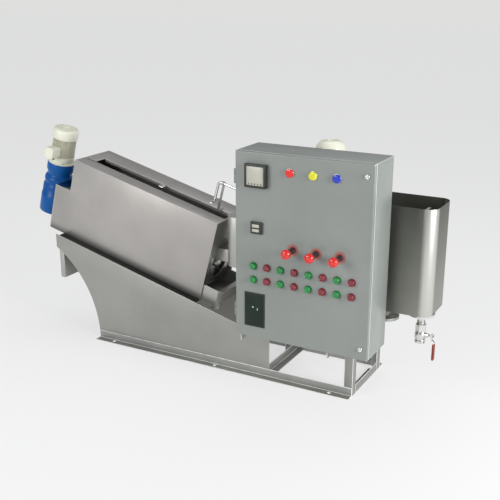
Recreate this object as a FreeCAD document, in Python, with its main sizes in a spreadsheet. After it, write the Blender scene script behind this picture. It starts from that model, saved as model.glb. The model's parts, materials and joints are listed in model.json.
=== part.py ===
import FreeCAD, Part
import math
import os
import Sketcher

doc = FreeCAD.newDocument("ScrewPress")
sheet = doc.addObject("Spreadsheet::Sheet", "Sizes")
nodes = []
turned_sides = 32


# A number that remembers the sheet formula it comes from.
class Size:
    def __init__(self, formula, value):
        self.formula = formula
        self.value = value

    def joined(self, sign, other, value):
        return Size("(%s %s %s)" % (self.formula, sign, other.formula), value)

    def __add__(self, other):
        other = as_size(other)
        return self.joined("+", other, self.value + other.value)

    def __sub__(self, other):
        other = as_size(other)
        return self.joined("-", other, self.value - other.value)

    def __mul__(self, other):
        other = as_size(other)
        return self.joined("*", other, self.value * other.value)

    def __truediv__(self, other):
        other = as_size(other)
        return self.joined("/", other, self.value / other.value)

    def __neg__(self):
        return as_size(0) - self

    __radd__ = __add__
    __rmul__ = __mul__

    def __rsub__(self, other):
        return as_size(other) - self


def as_size(number):
    if isinstance(number, Size):
        return number
    return Size("%.6f" % number, float(number))


def size(alias, value):
    row = sheet_rows[0]
    sheet_rows[0] = row + 1
    sheet.set("A%d" % row, alias)
    sheet.set("B%d" % row, str(value))
    sheet.setAlias("B%d" % row, alias)
    return Size("Sizes.%s" % alias, float(value))


sheet_rows = [1]


def sine(angle):
    return Size("sin(%s * 1deg)" % angle.formula, math.sin(math.radians(angle.value)))


def cosine(angle):
    return Size("cos(%s * 1deg)" % angle.formula, math.cos(math.radians(angle.value)))


# Base frame of equal angle bars, welded, with the flanges turned outwards.
frame_length = size("frame_length", 1372)
frame_width = size("frame_width", 420)
rail_leg = size("rail_leg", 40)
rail_wall = size("rail_wall", 4)
anchor_hole = size("anchor_hole", 14)
anchor_inset = size("anchor_inset", 100)
anchor_edge = size("anchor_edge", 20)
bay_length = size("bay_length", 434)
web_inside = frame_width / 2 - rail_leg
frame_end = frame_length / 2
cross_web = frame_end - bay_length

# Cheek plates that carry the press body at its slope.
slope = size("slope", 15)
cheek_sheet = size("cheek_sheet", 4)
cheek_overhang = size("cheek_overhang", 247)
cheek_edge = size("cheek_edge", 68)
cheek_arc = size("cheek_arc", 520)
cheek_rise = size("cheek_rise", 432)
cheek_reach = size("cheek_reach", 28)
slope_sin = sine(slope)
slope_cos = cosine(slope)

# Press body, measured along the slope (along) and square to it (rise).
body_upper = size("body_upper", -441)
body_length = size("body_length", 921)
body_width = size("body_width", 270)
cover_top = size("cover_top", 833)
cover_sheet = size("cover_sheet", 2)
step_length = size("step_length", 88)
step_rise = size("step_rise", 667)
slot_front = size("slot_front", 80)
slot_width = size("slot_width", 75)
slot_lip = size("slot_lip", 15)
slot_tab_length = size("slot_tab_length", 63)
slot_tab_gap = size("slot_tab_gap", 8)
end_plate_wall = size("end_plate_wall", 6)
body_lower = body_upper + body_length
cover_bottom = cheek_rise
body_half = body_width / 2
body_inside = body_half - cover_sheet

# Dewatering drum of spaced rings round the screw.
drum_rise = size("drum_rise", 585)
ring_radius = size("ring_radius", 85)
ring_bore = size("ring_bore", 72)
ring_gap = size("ring_gap", 12)
ring_count = 12
drum_upper = size("drum_upper", -344)
drum_flange_half = size("drum_flange_half", 98)
drum_flange_wall = size("drum_flange_wall", 8)
tie_bar_radius = size("tie_bar_radius", 7)
shaft_radius = size("shaft_radius", 24)
shaft_clearance = size("shaft_clearance", 6)
flight_radius = size("flight_radius", 71)
flight_wall = size("flight_wall", 5)
flight_root = size("flight_root", 3)
flight_turns = 5

# Filtrate tray under the drum and its two bearers.
tray_half = size("tray_half", 125)
tray_depth = size("tray_depth", 86)
tray_sheet = size("tray_sheet", 2)
tray_upper = size("tray_upper", -350)
tray_reach = size("tray_reach", 80)
tray_lip = size("tray_lip", 24)
bearer_upper_inset = size("bearer_upper_inset", 141)
bearer_lower_inset = size("bearer_lower_inset", 80)
outlet_radius = size("outlet_radius", 30)
outlet_wall = size("outlet_wall", 2)
outlet_length = size("outlet_length", 70)
outlet_reach = size("outlet_reach", 20)
tray_bottom = cheek_rise - cheek_sheet
outlet_along = body_lower + outlet_reach

# Cake chute below the upper end.
chute_bottom = size("chute_bottom", 286)
chute_height = size("chute_height", 180)
chute_flange = size("chute_flange", 27)
chute_offset = size("chute_offset", 206)
chute_sheet = size("chute_sheet", 2)

# Drive: geared motor with its motor standing square to the slope.
drive_along = size("drive_along", -533)
gear_along = size("gear_along", -541)
gear_radius = size("gear_radius", 92)
gear_bottom = size("gear_bottom", 427)
gear_shoulder = size("gear_shoulder", 572)
gear_neck_radius = size("gear_neck_radius", 74)
gear_bulge_radius = size("gear_bulge_radius", 84)
gear_bulge_rise = size("gear_bulge_rise", 622)
gear_collar_radius = size("gear_collar_radius", 80)
gear_collar_bottom = size("gear_collar_bottom", 690)
gear_edge = size("gear_edge", 8)
gear_shoulder_fall = size("gear_shoulder_fall", 20)
gear_shoulder_climb = size("gear_shoulder_climb", 12)
gear_bulge_fall = size("gear_bulge_fall", 18)
gear_bulge_climb = size("gear_bulge_climb", 26)
gear_collar_fall = size("gear_collar_fall", 16)
gear_neck_step = size("gear_neck_step", 12)
gear_flange_radius = size("gear_flange_radius", 72)
gear_flange_wall = size("gear_flange_wall", 14)
motor_foot = size("motor_foot", 716)
motor_flange_radius = size("motor_flange_radius", 86)
motor_flange_wall = size("motor_flange_wall", 12)
motor_radius = size("motor_radius", 66)
motor_fin = size("motor_fin", 7)
motor_fin_wall = size("motor_fin_wall", 3)
motor_fin_pairs = 8
motor_length = size("motor_length", 122)
cowl_radius = size("cowl_radius", 77)
cowl_length = size("cowl_length", 66)
cowl_edge = size("cowl_edge", 10)
box_along = size("box_along", 62)
box_depth = size("box_depth", 62)
box_height = size("box_height", 70)
box_rise = size("box_rise", 42)
box_lid = size("box_lid", 10)
box_lip = size("box_lip", 3)

# Rinse pipe over the slot.
pipe_radius = size("pipe_radius", 6.5)
pipe_wall = size("pipe_wall", 1.5)
pipe_bend = size("pipe_bend", 18)
pipe_sides = 12
pipe_along = size("pipe_along", 376)
pipe_across = size("pipe_across", -10)
pipe_reach = size("pipe_reach", 34)
pipe_low = size("pipe_low", 875)
pipe_high = size("pipe_high", 975)
pipe_run = size("pipe_run", 372)
stay_width = size("stay_width", 12)
stay_sheet = size("stay_sheet", 3)
stay_foot = size("stay_foot", 48)

# Posts and bearers that carry the tanks and the cabinet.
post_height = size("post_height", 960)
bearer_top = size("bearer_top", 280)
shelf_top = size("shelf_top", 279)
shelf_reach = size("shelf_reach", 101)
arm_length = size("arm_length", 130)
arm_shift = size("arm_shift", 14)

# Flocculation tank with its lid, and the metering tank hung on its end.
tank_sheet = size("tank_sheet", 2)
tank_corner = size("tank_corner", 45)
tank_shift = size("tank_shift", 23)
tank_length = size("tank_length", 400)
tank_width = size("tank_width", 250)
tank_height = size("tank_height", 435)
lid_sheet = size("lid_sheet", 3)
meter_length = size("meter_length", 312)
meter_width = size("meter_width", 224)
meter_bottom = size("meter_bottom", 403)
meter_height = size("meter_height", 460)
feed_gap = size("feed_gap", 21)
feed_bottom = size("feed_bottom", 477)
feed_height = size("feed_height", 235)
duct_width = size("duct_width", 120)
duct_bottom = size("duct_bottom", 479)
duct_height = size("duct_height", 60)
duct_reach = size("duct_reach", 100)
duct_sheet = size("duct_sheet", 2)
weir_inset = size("weir_inset", 58)
weir_length = size("weir_length", 80)
weir_height = size("weir_height", 200)
weir_fold = size("weir_fold", 12)
weir_drop = size("weir_drop", 10)
tank_left = cross_web + tank_shift
tank_right = tank_left + tank_length
feed_left = body_lower * slope_cos + cover_top * slope_sin - frame_end + feed_gap
tank_top = bearer_top + tank_height

# Agitator drive on the tank lid.
agitator_inset = size("agitator_inset", 204)
agitator_foot_radius = size("agitator_foot_radius", 70)
agitator_foot_wall = size("agitator_foot_wall", 10)
agitator_gear_radius = size("agitator_gear_radius", 58)
agitator_gear_height = size("agitator_gear_height", 150)
agitator_motor_length = size("agitator_motor_length", 149)

# Flanged outlet and drain valve under the metering tank.
nozzle_inset = size("nozzle_inset", 103)
nozzle_across = size("nozzle_across", -45)
nozzle_drop = size("nozzle_drop", 41)
nozzle_flange = size("nozzle_flange", 57.5)
nozzle_wall = size("nozzle_wall", 12)
nozzle_radius = size("nozzle_radius", 16.85)
nozzle_bore = size("nozzle_bore", 14)
nozzle_circle = size("nozzle_circle", 42.5)
nozzle_hole = size("nozzle_hole", 7)
valve_inset = size("valve_inset", 260)
valve_radius = size("valve_radius", 24)
valve_nut = size("valve_nut", 23.5)
valve_bore = size("valve_bore", 12.5)
stub_length = size("stub_length", 41)
nut_length = size("nut_length", 34)
valve_length = size("valve_length", 51)
stem_radius = size("stem_radius", 6)
stem_gap = size("stem_gap", 0.05)
stem_reach = size("stem_reach", 52)
stem_drop = size("stem_drop", 102)
pad_radius = size("pad_radius", 56)
boss_radius = size("boss_radius", 10)
boss_reach = size("boss_reach", 33)
lever_wall = size("lever_wall", 4)
lever_width = size("lever_width", 16)
lever_length = size("lever_length", 104)
lever_crank = size("lever_crank", 10)
lever_drop = size("lever_drop", 10)
grip_cap = size("grip_cap", 4)
grip_length = size("grip_length", 76)
grip_wall = size("grip_wall", 10)
grip_width = size("grip_width", 20)

# Control cabinet.
cabinet_shift = size("cabinet_shift", 32)
cabinet_left = cross_web - cabinet_shift
cabinet_width = size("cabinet_width", 600)
cabinet_height = size("cabinet_height", 800)
cabinet_depth = size("cabinet_depth", 200)
cabinet_sheet = size("cabinet_sheet", 2)
door_depth = size("door_depth", 20)
door_gap = size("door_gap", 1)
door_corner = size("door_corner", 5)
cabinet_rim = size("cabinet_rim", 16)
hinge_radius = size("hinge_radius", 7)
hinge_pin = size("hinge_pin", 4)
hinge_height = size("hinge_height", 60)
hinge_inset = size("hinge_inset", 110)
hinge_clearance = size("hinge_clearance", 2)
hinge_leaf = size("hinge_leaf", 30)
hinge_leaf_wall = size("hinge_leaf_wall", 4)
hinge_play = size("hinge_play", 0.5)
plate_margin = size("plate_margin", 40)
plate_standoff = size("plate_standoff", 12)
plate_wall = size("plate_wall", 3)
standoff_radius = size("standoff_radius", 6)
meter_face = size("meter_face", 96)
meter_stand = size("meter_stand", 22)
meter_frame = size("meter_frame", 8)
meter_recess = size("meter_recess", 3)
gauge_face = size("gauge_face", 48)
gauge_stand = size("gauge_stand", 12)
gauge_frame = size("gauge_frame", 6)
gauge_recess = size("gauge_recess", 2)
gauge_upper = size("gauge_upper", 8)
gauge_upper_height = size("gauge_upper_height", 16)
gauge_lower = size("gauge_lower", -11)
gauge_lower_height = size("gauge_lower_height", 12)
display_across = size("display_across", 98)
meter_drop = size("meter_drop", 92)
meter_up = cabinet_height - meter_drop
gauge_up = size("gauge_up", 491)
lamp_radius = size("lamp_radius", 15)
lamp_ring = size("lamp_ring", 18)
lamp_stand = size("lamp_stand", 11)
lamp_collar = size("lamp_collar", 4)
lamp_across = size("lamp_across", 247)
lamp_pitch = size("lamp_pitch", 100)
lamp_drop = size("lamp_drop", 69)
lamp_up = cabinet_height - lamp_drop
stop_across = size("stop_across", 265)
stop_pitch = size("stop_pitch", 102)
stop_up = size("stop_up", 417)
stop_collar_radius = size("stop_collar_radius", 14.5)
stop_collar_length = size("stop_collar_length", 48)
stop_head_radius = size("stop_head_radius", 20)
stop_head_length = size("stop_head_length", 24)
stop_gap = size("stop_gap", 9)
stop_stem = size("stop_stem", 8)
stop_seat = size("stop_seat", 8)
stop_travel = size("stop_travel", 4)
button_across = size("button_across", 86)
button_pitch = size("button_pitch", 62.6)
button_low = size("button_low", 263)
button_rows = size("button_rows", 60)
button_radius = size("button_radius", 11)
button_ring = size("button_ring", 15)
button_stand = size("button_stand", 16)
button_collar = size("button_collar", 6)
button_count = 8
window_width = size("window_width", 95)
window_height = size("window_height", 152)
window_across = size("window_across", 44)
window_up = size("window_up", 52)
window_wall = size("window_wall", 3)
lock_radius = size("lock_radius", 10)
lock_inset = size("lock_inset", 30)
lock_up = size("lock_up", 48)
lock_stand = size("lock_stand", 6)
cabinet_back = -web_inside
cabinet_front = cabinet_back - cabinet_depth
door_back = cabinet_front + door_depth
doc.recompute()


def bind(item, prop, value):
    item.setExpression(prop, as_size(value).formula)


def vector(x, y, z):
    return FreeCAD.Vector(as_size(x).value, as_size(y).value, as_size(z).value)


# Puts an item at a point, turned about Y unless another axis is given.
def place(item, spot, angle=0, axis=(0, 1, 0)):
    turn = FreeCAD.Rotation(FreeCAD.Vector(*axis), as_size(angle).value)
    item.Placement = FreeCAD.Placement(vector(*spot), turn)
    for name, value in zip("xyz", spot):
        bind(item, "Placement.Base.%s" % name, value)
    if isinstance(angle, Size):
        bind(item, "Placement.Rotation.Angle", Size("%s * 1deg" % angle.formula, angle.value))
    return item


# A point given along the slope, across it and square to it.
def on_slope(along, across, rise):
    x = along * slope_cos + rise * slope_sin - frame_end
    z = rise * slope_cos - along * slope_sin
    return (as_size(x), as_size(across), as_size(z))


def node(item, label):
    item.Label = label
    nodes.append(item)
    return item


def span_block(x, y, z):
    item = doc.addObject("Part::Box", "Block")
    for prop, (low, high) in zip(("Length", "Width", "Height"), (x, y, z)):
        bind(item, prop, as_size(high) - as_size(low))
    return place(item, (x[0], y[0], z[0]))


turns = {"x": (90, (0, 1, 0)), "y": (-90, (1, 0, 0)), "z": (0, (0, 0, 1))}


def rod(radius, length, spot, direction):
    item = doc.addObject("Part::Cylinder", "Rod")
    bind(item, "Radius", radius)
    bind(item, "Height", length)
    angle, axis = turns[direction]
    return place(item, spot, angle, axis)


def prism(sides, radius, length, spot, direction):
    item = doc.addObject("Part::Prism", "Prism")
    item.Polygon = sides
    bind(item, "Circumradius", radius)
    bind(item, "Height", length)
    angle, axis = turns[direction]
    return place(item, spot, angle, axis)


# A turned form of many flat sides, lofted straight from level to level as (radius, rise).
def turned(levels):
    rims = []
    for radius, rise in levels:
        rim = doc.addObject("Part::RegularPolygon", "Rim")
        rim.Polygon = turned_sides
        bind(rim, "Circumradius", radius)
        rims.append(place(rim, (0, 0, rise)))
    form = doc.addObject("Part::Loft", "Turned")
    form.Sections = rims
    form.Solid = True
    form.Ruled = True
    return form


def cut(base, *tools):
    for tool in tools:
        item = doc.addObject("Part::Cut", "Cut")
        item.Base = base
        item.Tool = tool
        base = item
    return base


def fuse(*shapes):
    item = doc.addObject("Part::MultiFuse", "Fuse")
    item.Shapes = list(shapes)
    item.Refine = True
    return item


def group(*shapes):
    item = doc.addObject("Part::Compound", "Group")
    item.Links = list(shapes)
    return item


# Lays an item drawn along the slope, across it and square to it.
def sloped(*shapes):
    return place(group(*shapes), (-frame_end, 0, 0), slope)


# The middle point of an arc that bulges to the left where its radius is positive.
def arc_middle(start, end, radius):
    chord = end.sub(start)
    half = chord.Length / 2
    rise = abs(radius) - math.sqrt(max(radius * radius - half * half, 0))
    side = FreeCAD.Vector(-chord.y, chord.x, 0).normalize()
    return start.add(chord.multiply(0.5)).add(side.multiply(math.copysign(rise, radius)))


# A closed sketch whose corners and arcs are tied to the sheet.
def outline(body, plane, corners, arcs=None, lift=None):
    arcs = arcs or {}
    sketch = body.newObject("Sketcher::SketchObject", "Outline")
    origin = [face for face in body.Origin.OriginFeatures if face.Role == plane][0]
    sketch.AttachmentSupport = (origin, [""])
    sketch.MapMode = "FlatFace"
    if lift is not None:
        bind(sketch, "AttachmentOffset.Base.z", lift)
    corners = [(as_size(across), as_size(up)) for across, up in corners]
    spots = [FreeCAD.Vector(across.value, up.value, 0) for across, up in corners]
    count = len(spots)
    ends = []
    for i, start in enumerate(spots):
        end = spots[(i + 1) % count]
        if i in arcs:
            middle = arc_middle(start, end, arcs[i].value)
            sketch.addGeometry(Part.Arc(start, middle, end), False)
            ends.append((2, 1) if arcs[i].value > 0 else (1, 2))
        else:
            sketch.addGeometry(Part.LineSegment(start, end), False)
            ends.append((1, 2))
    for i in range(count):
        after = (i + 1) % count
        sketch.addConstraint(Sketcher.Constraint("Coincident", i, ends[i][1], after, ends[after][0]))
    for i, spot in enumerate(corners):
        for kind, value in zip(("DistanceX", "DistanceY"), spot):
            rule = Sketcher.Constraint(kind, -1, 1, i, ends[i][0], value.value)
            name = "corner%d%s" % (i, kind[-1])
            sketch.renameConstraint(sketch.addConstraint(rule), name)
            sketch.setExpression("Constraints.%s" % name, value.formula)
    for i, radius in arcs.items():
        rule = Sketcher.Constraint("Radius", i, abs(radius.value))
        name = "arc%d" % i
        sketch.renameConstraint(sketch.addConstraint(rule), name)
        sketch.setExpression("Constraints.%s" % name, "abs(%s)" % radius.formula)
    return sketch


def pad(body, sketch, length):
    feature = body.newObject("PartDesign::Pad", "Pad")
    feature.Profile = sketch
    bind(feature, "Length", length)
    return feature


def pocket(body, sketch, length):
    feature = body.newObject("PartDesign::Pocket", "Pocket")
    feature.Profile = sketch
    bind(feature, "Length", length)
    return feature


def new_body(spot, angle=0, axis=(0, 1, 0)):
    return place(doc.addObject("PartDesign::Body", "Body"), spot, angle, axis)


# A plate or bar of constant section, drawn on a plane of its body and padded.
def section(plane, corners, length, spot, arcs=None):
    body = new_body(spot)
    pad(body, outline(body, plane, corners, arcs), length)
    return body


def angle_profile(side, top=False):
    wall = rail_wall * side
    leg = rail_leg * side
    if top:
        shelf = rail_leg - rail_wall
        return [(0, 0), (wall, 0), (wall, shelf), (leg, shelf), (leg, rail_leg), (0, rail_leg)]
    return [(0, 0), (leg, 0), (leg, rail_wall), (wall, rail_wall), (wall, rail_leg), (0, rail_leg)]


# An angle bar across the frame: its web starts at x and its leg points to the side given.
def tie_bar(x, side, half, bottom, top=False):
    return section("XZ_Plane", angle_profile(side, top), half * 2, (x, half, bottom))


# An angle bar along the frame.
def long_bar(x, length, y, side, bottom, top=False):
    return section("YZ_Plane", angle_profile(side, top), length, (x, y, bottom))


# A rectangle with rounded corners, drawn anticlockwise from its lower left.
def rounded(low, high, corner):
    (left, bottom), (right, top) = low, high
    corners = [(left + corner, bottom), (right - corner, bottom), (right, bottom + corner),
               (right, top - corner), (right - corner, top), (left + corner, top),
               (left, top - corner), (left, bottom + corner)]
    return corners, {1: -corner, 3: -corner, 5: -corner, 7: -corner}


# An upright post of angle bar with its heel at the outer corner.
def post(x, toward, y, inward, height):
    wall_x, leg_x = rail_wall * toward, rail_leg * toward
    wall_y, leg_y = rail_wall * inward, rail_leg * inward
    corners = [(0, 0), (leg_x, 0), (leg_x, wall_y), (wall_x, wall_y), (wall_x, leg_y), (0, leg_y)]
    return section("XY_Plane", corners, height, (x, y, 0))


def build_base():
    for label, side in (("front_rail", -1), ("rear_rail", 1)):
        body = long_bar(-frame_end, frame_length, web_inside * side, side, 0)
        middle = (frame_width / 2 - anchor_edge) * side
        spots = (anchor_inset - frame_end, as_size(0), frame_end - anchor_inset)
        holes = [rod(anchor_hole / 2, rail_wall * 3, (x, middle, -rail_wall), "z") for x in spots]
        node(cut(body, *holes), label)
    node(group(tie_bar(-frame_end, 1, web_inside, 0), tie_bar(cross_web, 1, web_inside, 0),
               tie_bar(frame_end, -1, web_inside - rail_leg, 0)), "cross_rails")
    inner = cross_web - rail_leg
    node(group(post(inner, 1, -web_inside, 1, post_height),
               post(frame_end, -1, -web_inside, 1, post_height)), "front_posts")
    node(group(post(inner, 1, web_inside, -1, bearer_top),
               post(frame_end, -1, web_inside, -1, bearer_top)), "rear_posts")


# The cheek's top edge runs at the slope and is folded in as a ledge under the covers,
# and its left end is swept down to the rail.
def build_cheeks():
    left = -frame_end - cheek_overhang
    right = cross_web + cheek_reach
    top_left = (cheek_rise + cheek_overhang * slope_sin) / slope_cos
    top_right = (cheek_rise - (right + frame_end) * slope_sin) / slope_cos
    corners = [(left, top_left), (left, top_left - cheek_edge), (-frame_end, rail_leg),
               (right, rail_leg), (right, top_right)]
    arcs = {1: cheek_arc}
    front = (0, -web_inside, 0)
    rear = (0, web_inside + cheek_sheet, 0)
    for label, spot, low, high in (("front_cheek", front, -web_inside, -body_inside),
                                   ("rear_cheek", rear, body_inside, web_inside)):
        sheet = section("XZ_Plane", corners, cheek_sheet, spot, arcs)
        ledge = span_block((tray_upper, body_lower), (low, high), (tray_bottom, cheek_rise))
        node(fuse(sheet, sloped(ledge)), label)


def build_chute():
    web = -frame_end - chute_offset
    top = chute_bottom + chute_height
    inner = web_inside - chute_sheet
    back = span_block((web - chute_sheet, web), (-web_inside, web_inside), (chute_bottom, top))
    sides = [span_block((web - chute_flange, web), (low, low + chute_sheet), (chute_bottom, top))
             for low in (-web_inside, inner)]
    node(fuse(back, *sides), "cake_chute")


def build_bearers():
    bars = [tie_bar(along, 1, web_inside, tray_bottom - rail_leg, True)
            for along in (body_upper + bearer_upper_inset, body_lower - bearer_lower_inset)]
    node(sloped(*bars), "body_bearers")


# Each cover is a folded sheet: a side with a step for the drive, a top and a lip at the slot.
def build_covers():
    step = body_upper + step_length
    corners = [(body_upper, cover_bottom), (body_lower, cover_bottom), (body_lower, cover_top),
               (step, cover_top), (step, step_rise), (body_upper, step_rise)]
    under = cover_top - cover_sheet
    near = -body_half + slot_front
    far = near + slot_width
    tops = {"front_cover": (-body_half, near), "rear_cover": (far, body_half)}
    for label, face in (("front_cover", -body_inside), ("rear_cover", body_half)):
        side = section("XZ_Plane", corners, cover_sheet, (0, face, 0))
        low, high = tops[label]
        top = span_block((step, body_lower), (low, high), (under, cover_top))
        lip_low = near - cover_sheet if label == "front_cover" else far
        lip = span_block((step + slot_tab_length, body_lower - end_plate_wall * 2),
                         (lip_low, lip_low + cover_sheet), (cover_top - slot_lip, cover_top))
        shapes = [side, top, lip]
        if label == "rear_cover":
            shapes.append(span_block((step, step + slot_tab_length), (near + slot_tab_gap, far),
                                     (under, cover_top)))
        node(sloped(fuse(*shapes)), label)


# The upper end plate is stepped under the motor, and the lower one is arched over the drum.
def build_end_plates():
    wall = end_plate_wall
    step = body_upper + step_length
    left = body_upper - wall
    under = cover_top - cover_sheet
    corners = [(left, cover_bottom), (body_upper, cover_bottom), (body_upper, step_rise - wall),
               (step + wall, step_rise - wall), (step + wall, under), (step, under),
               (step, step_rise), (left, step_rise)]
    plate = section("XZ_Plane", corners, body_inside * 2, (0, body_inside, 0))
    bore = prism(12, shaft_radius + shaft_clearance, wall * 3, (left - wall, 0, drum_rise), "x")
    node(sloped(cut(plate, bore)), "upper_end_plate")
    face = body_lower - wall
    panel = span_block((face - wall, face), (-body_inside, body_inside), (drum_rise, under))
    arch = rod(ring_radius, wall * 3, (face - wall * 2, 0, drum_rise), "x")
    node(cut(sloped(cut(panel, arch)), duct_form(0)), "lower_end_plate")


# The level duct from the feed box's inner face to the drum's lower flange, inset by a sheet.
def duct_form(inset):
    half = duct_width / 2 - inset
    reach = (feed_left - duct_reach - inset, feed_left + tank_sheet + inset)
    return span_block(reach, (-half, half), (duct_bottom + inset, duct_bottom + duct_height - inset))


# The flight winds round the shaft with twelve flat strips a turn, which start inside the shaft.
# Each strip is two triangles, because its edges are not parallel.
def screw_flight(start, length):
    sides = 12 * flight_turns
    root = (shaft_radius - flight_root).value
    tip = flight_radius.value
    wall = flight_wall.value
    step = (length.value - wall) / sides
    frames = []
    for i in range(sides + 1):
        angle = math.radians(30 * i)
        out = FreeCAD.Vector(0, math.cos(angle), math.sin(angle))
        near = FreeCAD.Vector(step * i, 0, 0) + out * root
        far = FreeCAD.Vector(step * i, 0, 0) + out * tip
        ahead = FreeCAD.Vector(wall, 0, 0)
        frames.append([near, far, far + ahead, near + ahead])
    faces = [Part.Face(Part.makePolygon(frame + frame[:1])) for frame in (frames[0], frames[-1])]
    for before, after in zip(frames, frames[1:]):
        for i in range(4):
            a, b = before[i], before[(i + 1) % 4]
            c, d = after[(i + 1) % 4], after[i]
            faces.append(Part.Face(Part.makePolygon([a, b, c, a])))
            faces.append(Part.Face(Part.makePolygon([a, c, d, a])))
    flight = doc.addObject("Part::Feature", "Flight")
    flight.Shape = Part.Solid(Part.Shell(faces))
    return place(flight, (start, 0, drum_rise))


# Rings in a cage of four square tie bars between two flange plates, with the screw inside.
# A ring of twenty sides has a flat at 45 degrees, where its bar lies on it.
def build_drum():
    half = drum_flange_half
    wall = drum_flange_wall
    start = drum_upper + wall
    lower = body_lower - end_plate_wall * 2 - wall
    pitch = (lower - start - ring_gap) / ring_count
    ring_wall = pitch - ring_gap
    rings = []
    for i in range(ring_count):
        spot = (start + ring_gap + pitch * i, 0, drum_rise)
        rim = prism(20, ring_radius, ring_wall, spot, "x")
        rings.append(cut(rim, prism(12, ring_bore, ring_wall, spot, "x")))
    plates = []
    for along in (drum_upper, lower):
        plate = span_block((along, along + wall), (-half, half), (drum_rise - half, drum_rise + half))
        plates.append(cut(plate, prism(12, ring_bore, wall, (along, 0, drum_rise), "x")))
    diagonal = cosine(as_size(45))
    offset = (ring_radius * cosine(as_size(9)) + tie_bar_radius * diagonal) * diagonal
    bars = [prism(4, tie_bar_radius, lower - start, (start, offset * y, drum_rise + offset * z), "x")
            for y in (-1, 1) for z in (-1, 1)]
    node(sloped(*rings), "drum_rings")
    node(sloped(*plates), "drum_flanges")
    node(sloped(*bars), "tie_rods")
    shaft_start = body_upper - end_plate_wall
    shaft = prism(12, shaft_radius, lower + wall - shaft_start, (shaft_start, 0, drum_rise), "x")
    flight = screw_flight(start, lower - start)
    node(sloped(fuse(shaft, flight)), "screw")


# The tray is welded from a floor, two sides and two ends. The lower end is folded to a lip.
def build_tray():
    end = body_lower + tray_reach
    low = tray_bottom
    wall = tray_sheet
    floor = low + wall
    rim = low + tray_depth
    half = tray_half
    inside = half - wall
    panel = span_block((tray_upper, end), (-half, half), (low, floor))
    drain = rod(outlet_radius - outlet_wall, wall * 3, (outlet_along, 0, low - wall), "z")
    node(sloped(cut(panel, drain)), "filtrate_tray")
    node(sloped(*[span_block((tray_upper, end), (face, face + wall), (floor, rim))
                  for face in (-half, inside)]), "tray_sides")
    upper_end = span_block((tray_upper, tray_upper + wall), (-inside, inside), (floor, rim))
    lower_end = span_block((end - wall, end), (-inside, inside), (floor, rim))
    lip = span_block((end - wall, end + tray_lip), (-inside, inside), (rim - wall, rim))
    node(sloped(upper_end, fuse(lower_end, lip)), "tray_ends")
    spot = (outlet_along, 0, low - outlet_length)
    pipe = rod(outlet_radius, outlet_length, spot, "z")
    node(sloped(cut(pipe, rod(outlet_radius - outlet_wall, outlet_length, spot, "z"))), "tray_outlet")


# The housing is turned: a broad foot, a waist with a bulge and a collar under the motor.
def build_gearbox():
    r = gear_radius
    neck = gear_neck_radius
    bulge = gear_bulge_rise
    levels = [(r - gear_edge, gear_bottom), (r, gear_bottom + gear_edge),
              (r, gear_shoulder - gear_shoulder_fall), (r - gear_edge, gear_shoulder),
              (neck, gear_shoulder + gear_shoulder_climb), (neck, bulge - gear_bulge_fall),
              (gear_bulge_radius, bulge), (neck, bulge + gear_bulge_climb),
              (neck, gear_collar_bottom - gear_collar_fall),
              (gear_collar_radius, gear_collar_bottom), (gear_collar_radius, motor_foot)]
    housing = place(group(turned(levels)), (gear_along, 0, 0))
    face = body_upper - end_plate_wall
    flange = prism(24, gear_flange_radius, gear_flange_wall, (face - gear_flange_wall, 0, drum_rise), "x")
    arm = prism(24, gear_flange_radius - gear_neck_step, face - gear_along,
                (gear_along, 0, drum_rise), "x")
    node(sloped(fuse(housing, flange, arm)), "gearbox")


# A finned motor body, drawn upright at the origin. Each box makes a pair of opposite fins.
def motor_frame(length):
    core = prism(turned_sides, motor_radius, length, (0, 0, 0), "z")
    reach = motor_radius + motor_fin
    fins = []
    for i in range(motor_fin_pairs):
        turn = as_size(180.0 / motor_fin_pairs * i)
        fin = doc.addObject("Part::Box", "Fin")
        bind(fin, "Length", reach * 2)
        bind(fin, "Width", motor_fin_wall)
        bind(fin, "Height", length)
        back = reach * cosine(turn) - motor_fin_wall / 2 * sine(turn)
        down = reach * sine(turn) + motor_fin_wall / 2 * cosine(turn)
        place(fin, (-back, -down, 0), turn.value, (0, 0, 1))
        fins.append(fin)
    return fuse(core, *fins)


def motor_cowl():
    top = cowl_length - cowl_edge
    return turned([(cowl_radius, 0), (cowl_radius, top), (cowl_radius - cowl_edge, cowl_length)])


def build_drive():
    foot = motor_foot + motor_flange_wall

    def at_drive(rise, *shapes):
        return place(group(*shapes), on_slope(drive_along, 0, rise), slope)

    flange = prism(turned_sides, motor_flange_radius, motor_flange_wall, (0, 0, -motor_flange_wall), "z")
    node(at_drive(foot, fuse(flange, motor_frame(motor_length))), "drive_motor")
    node(at_drive(foot + motor_length, motor_cowl()), "fan_cowl")
    half = box_along / 2
    front = -motor_radius - motor_fin
    split = front - box_depth + box_lid
    box = span_block((-half, half), (split, front), (0, box_height))
    lid = span_block((-half - box_lip, half + box_lip), (split - box_lid, split),
                     (-box_lip, box_height + box_lip))
    node(at_drive(foot + box_rise, fuse(box, lid)), "terminal_box")


def build_supports():
    left = cross_web
    right = frame_end - rail_leg
    low = bearer_top - rail_leg
    node(group(long_bar(left, right - left, -web_inside, 1, low, True),
               long_bar(left, right - left, web_inside, -1, low, True)), "tank_bearers")
    reach = web_inside - rail_leg
    straps = [span_block((x, x + rail_leg), (-reach, reach), (bearer_top - rail_wall, bearer_top))
              for x in (tank_left + rail_leg, tank_right - rail_leg * 2)]
    node(group(*straps), "tank_straps")
    shelf_left = cross_web - rail_leg
    shelf_low = shelf_top - rail_leg
    shelf = long_bar(shelf_left, frame_end + shelf_reach - shelf_left, -web_inside, -1, shelf_low, True)
    node(shelf, "cabinet_shelf")
    arms = []
    for x in (shelf_left + arm_shift, right - arm_shift):
        spot = (x, -web_inside - rail_leg, shelf_low)
        arms.append(section("XZ_Plane", angle_profile(1, True), arm_length, spot))
    node(group(*arms), "cabinet_arms")


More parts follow.
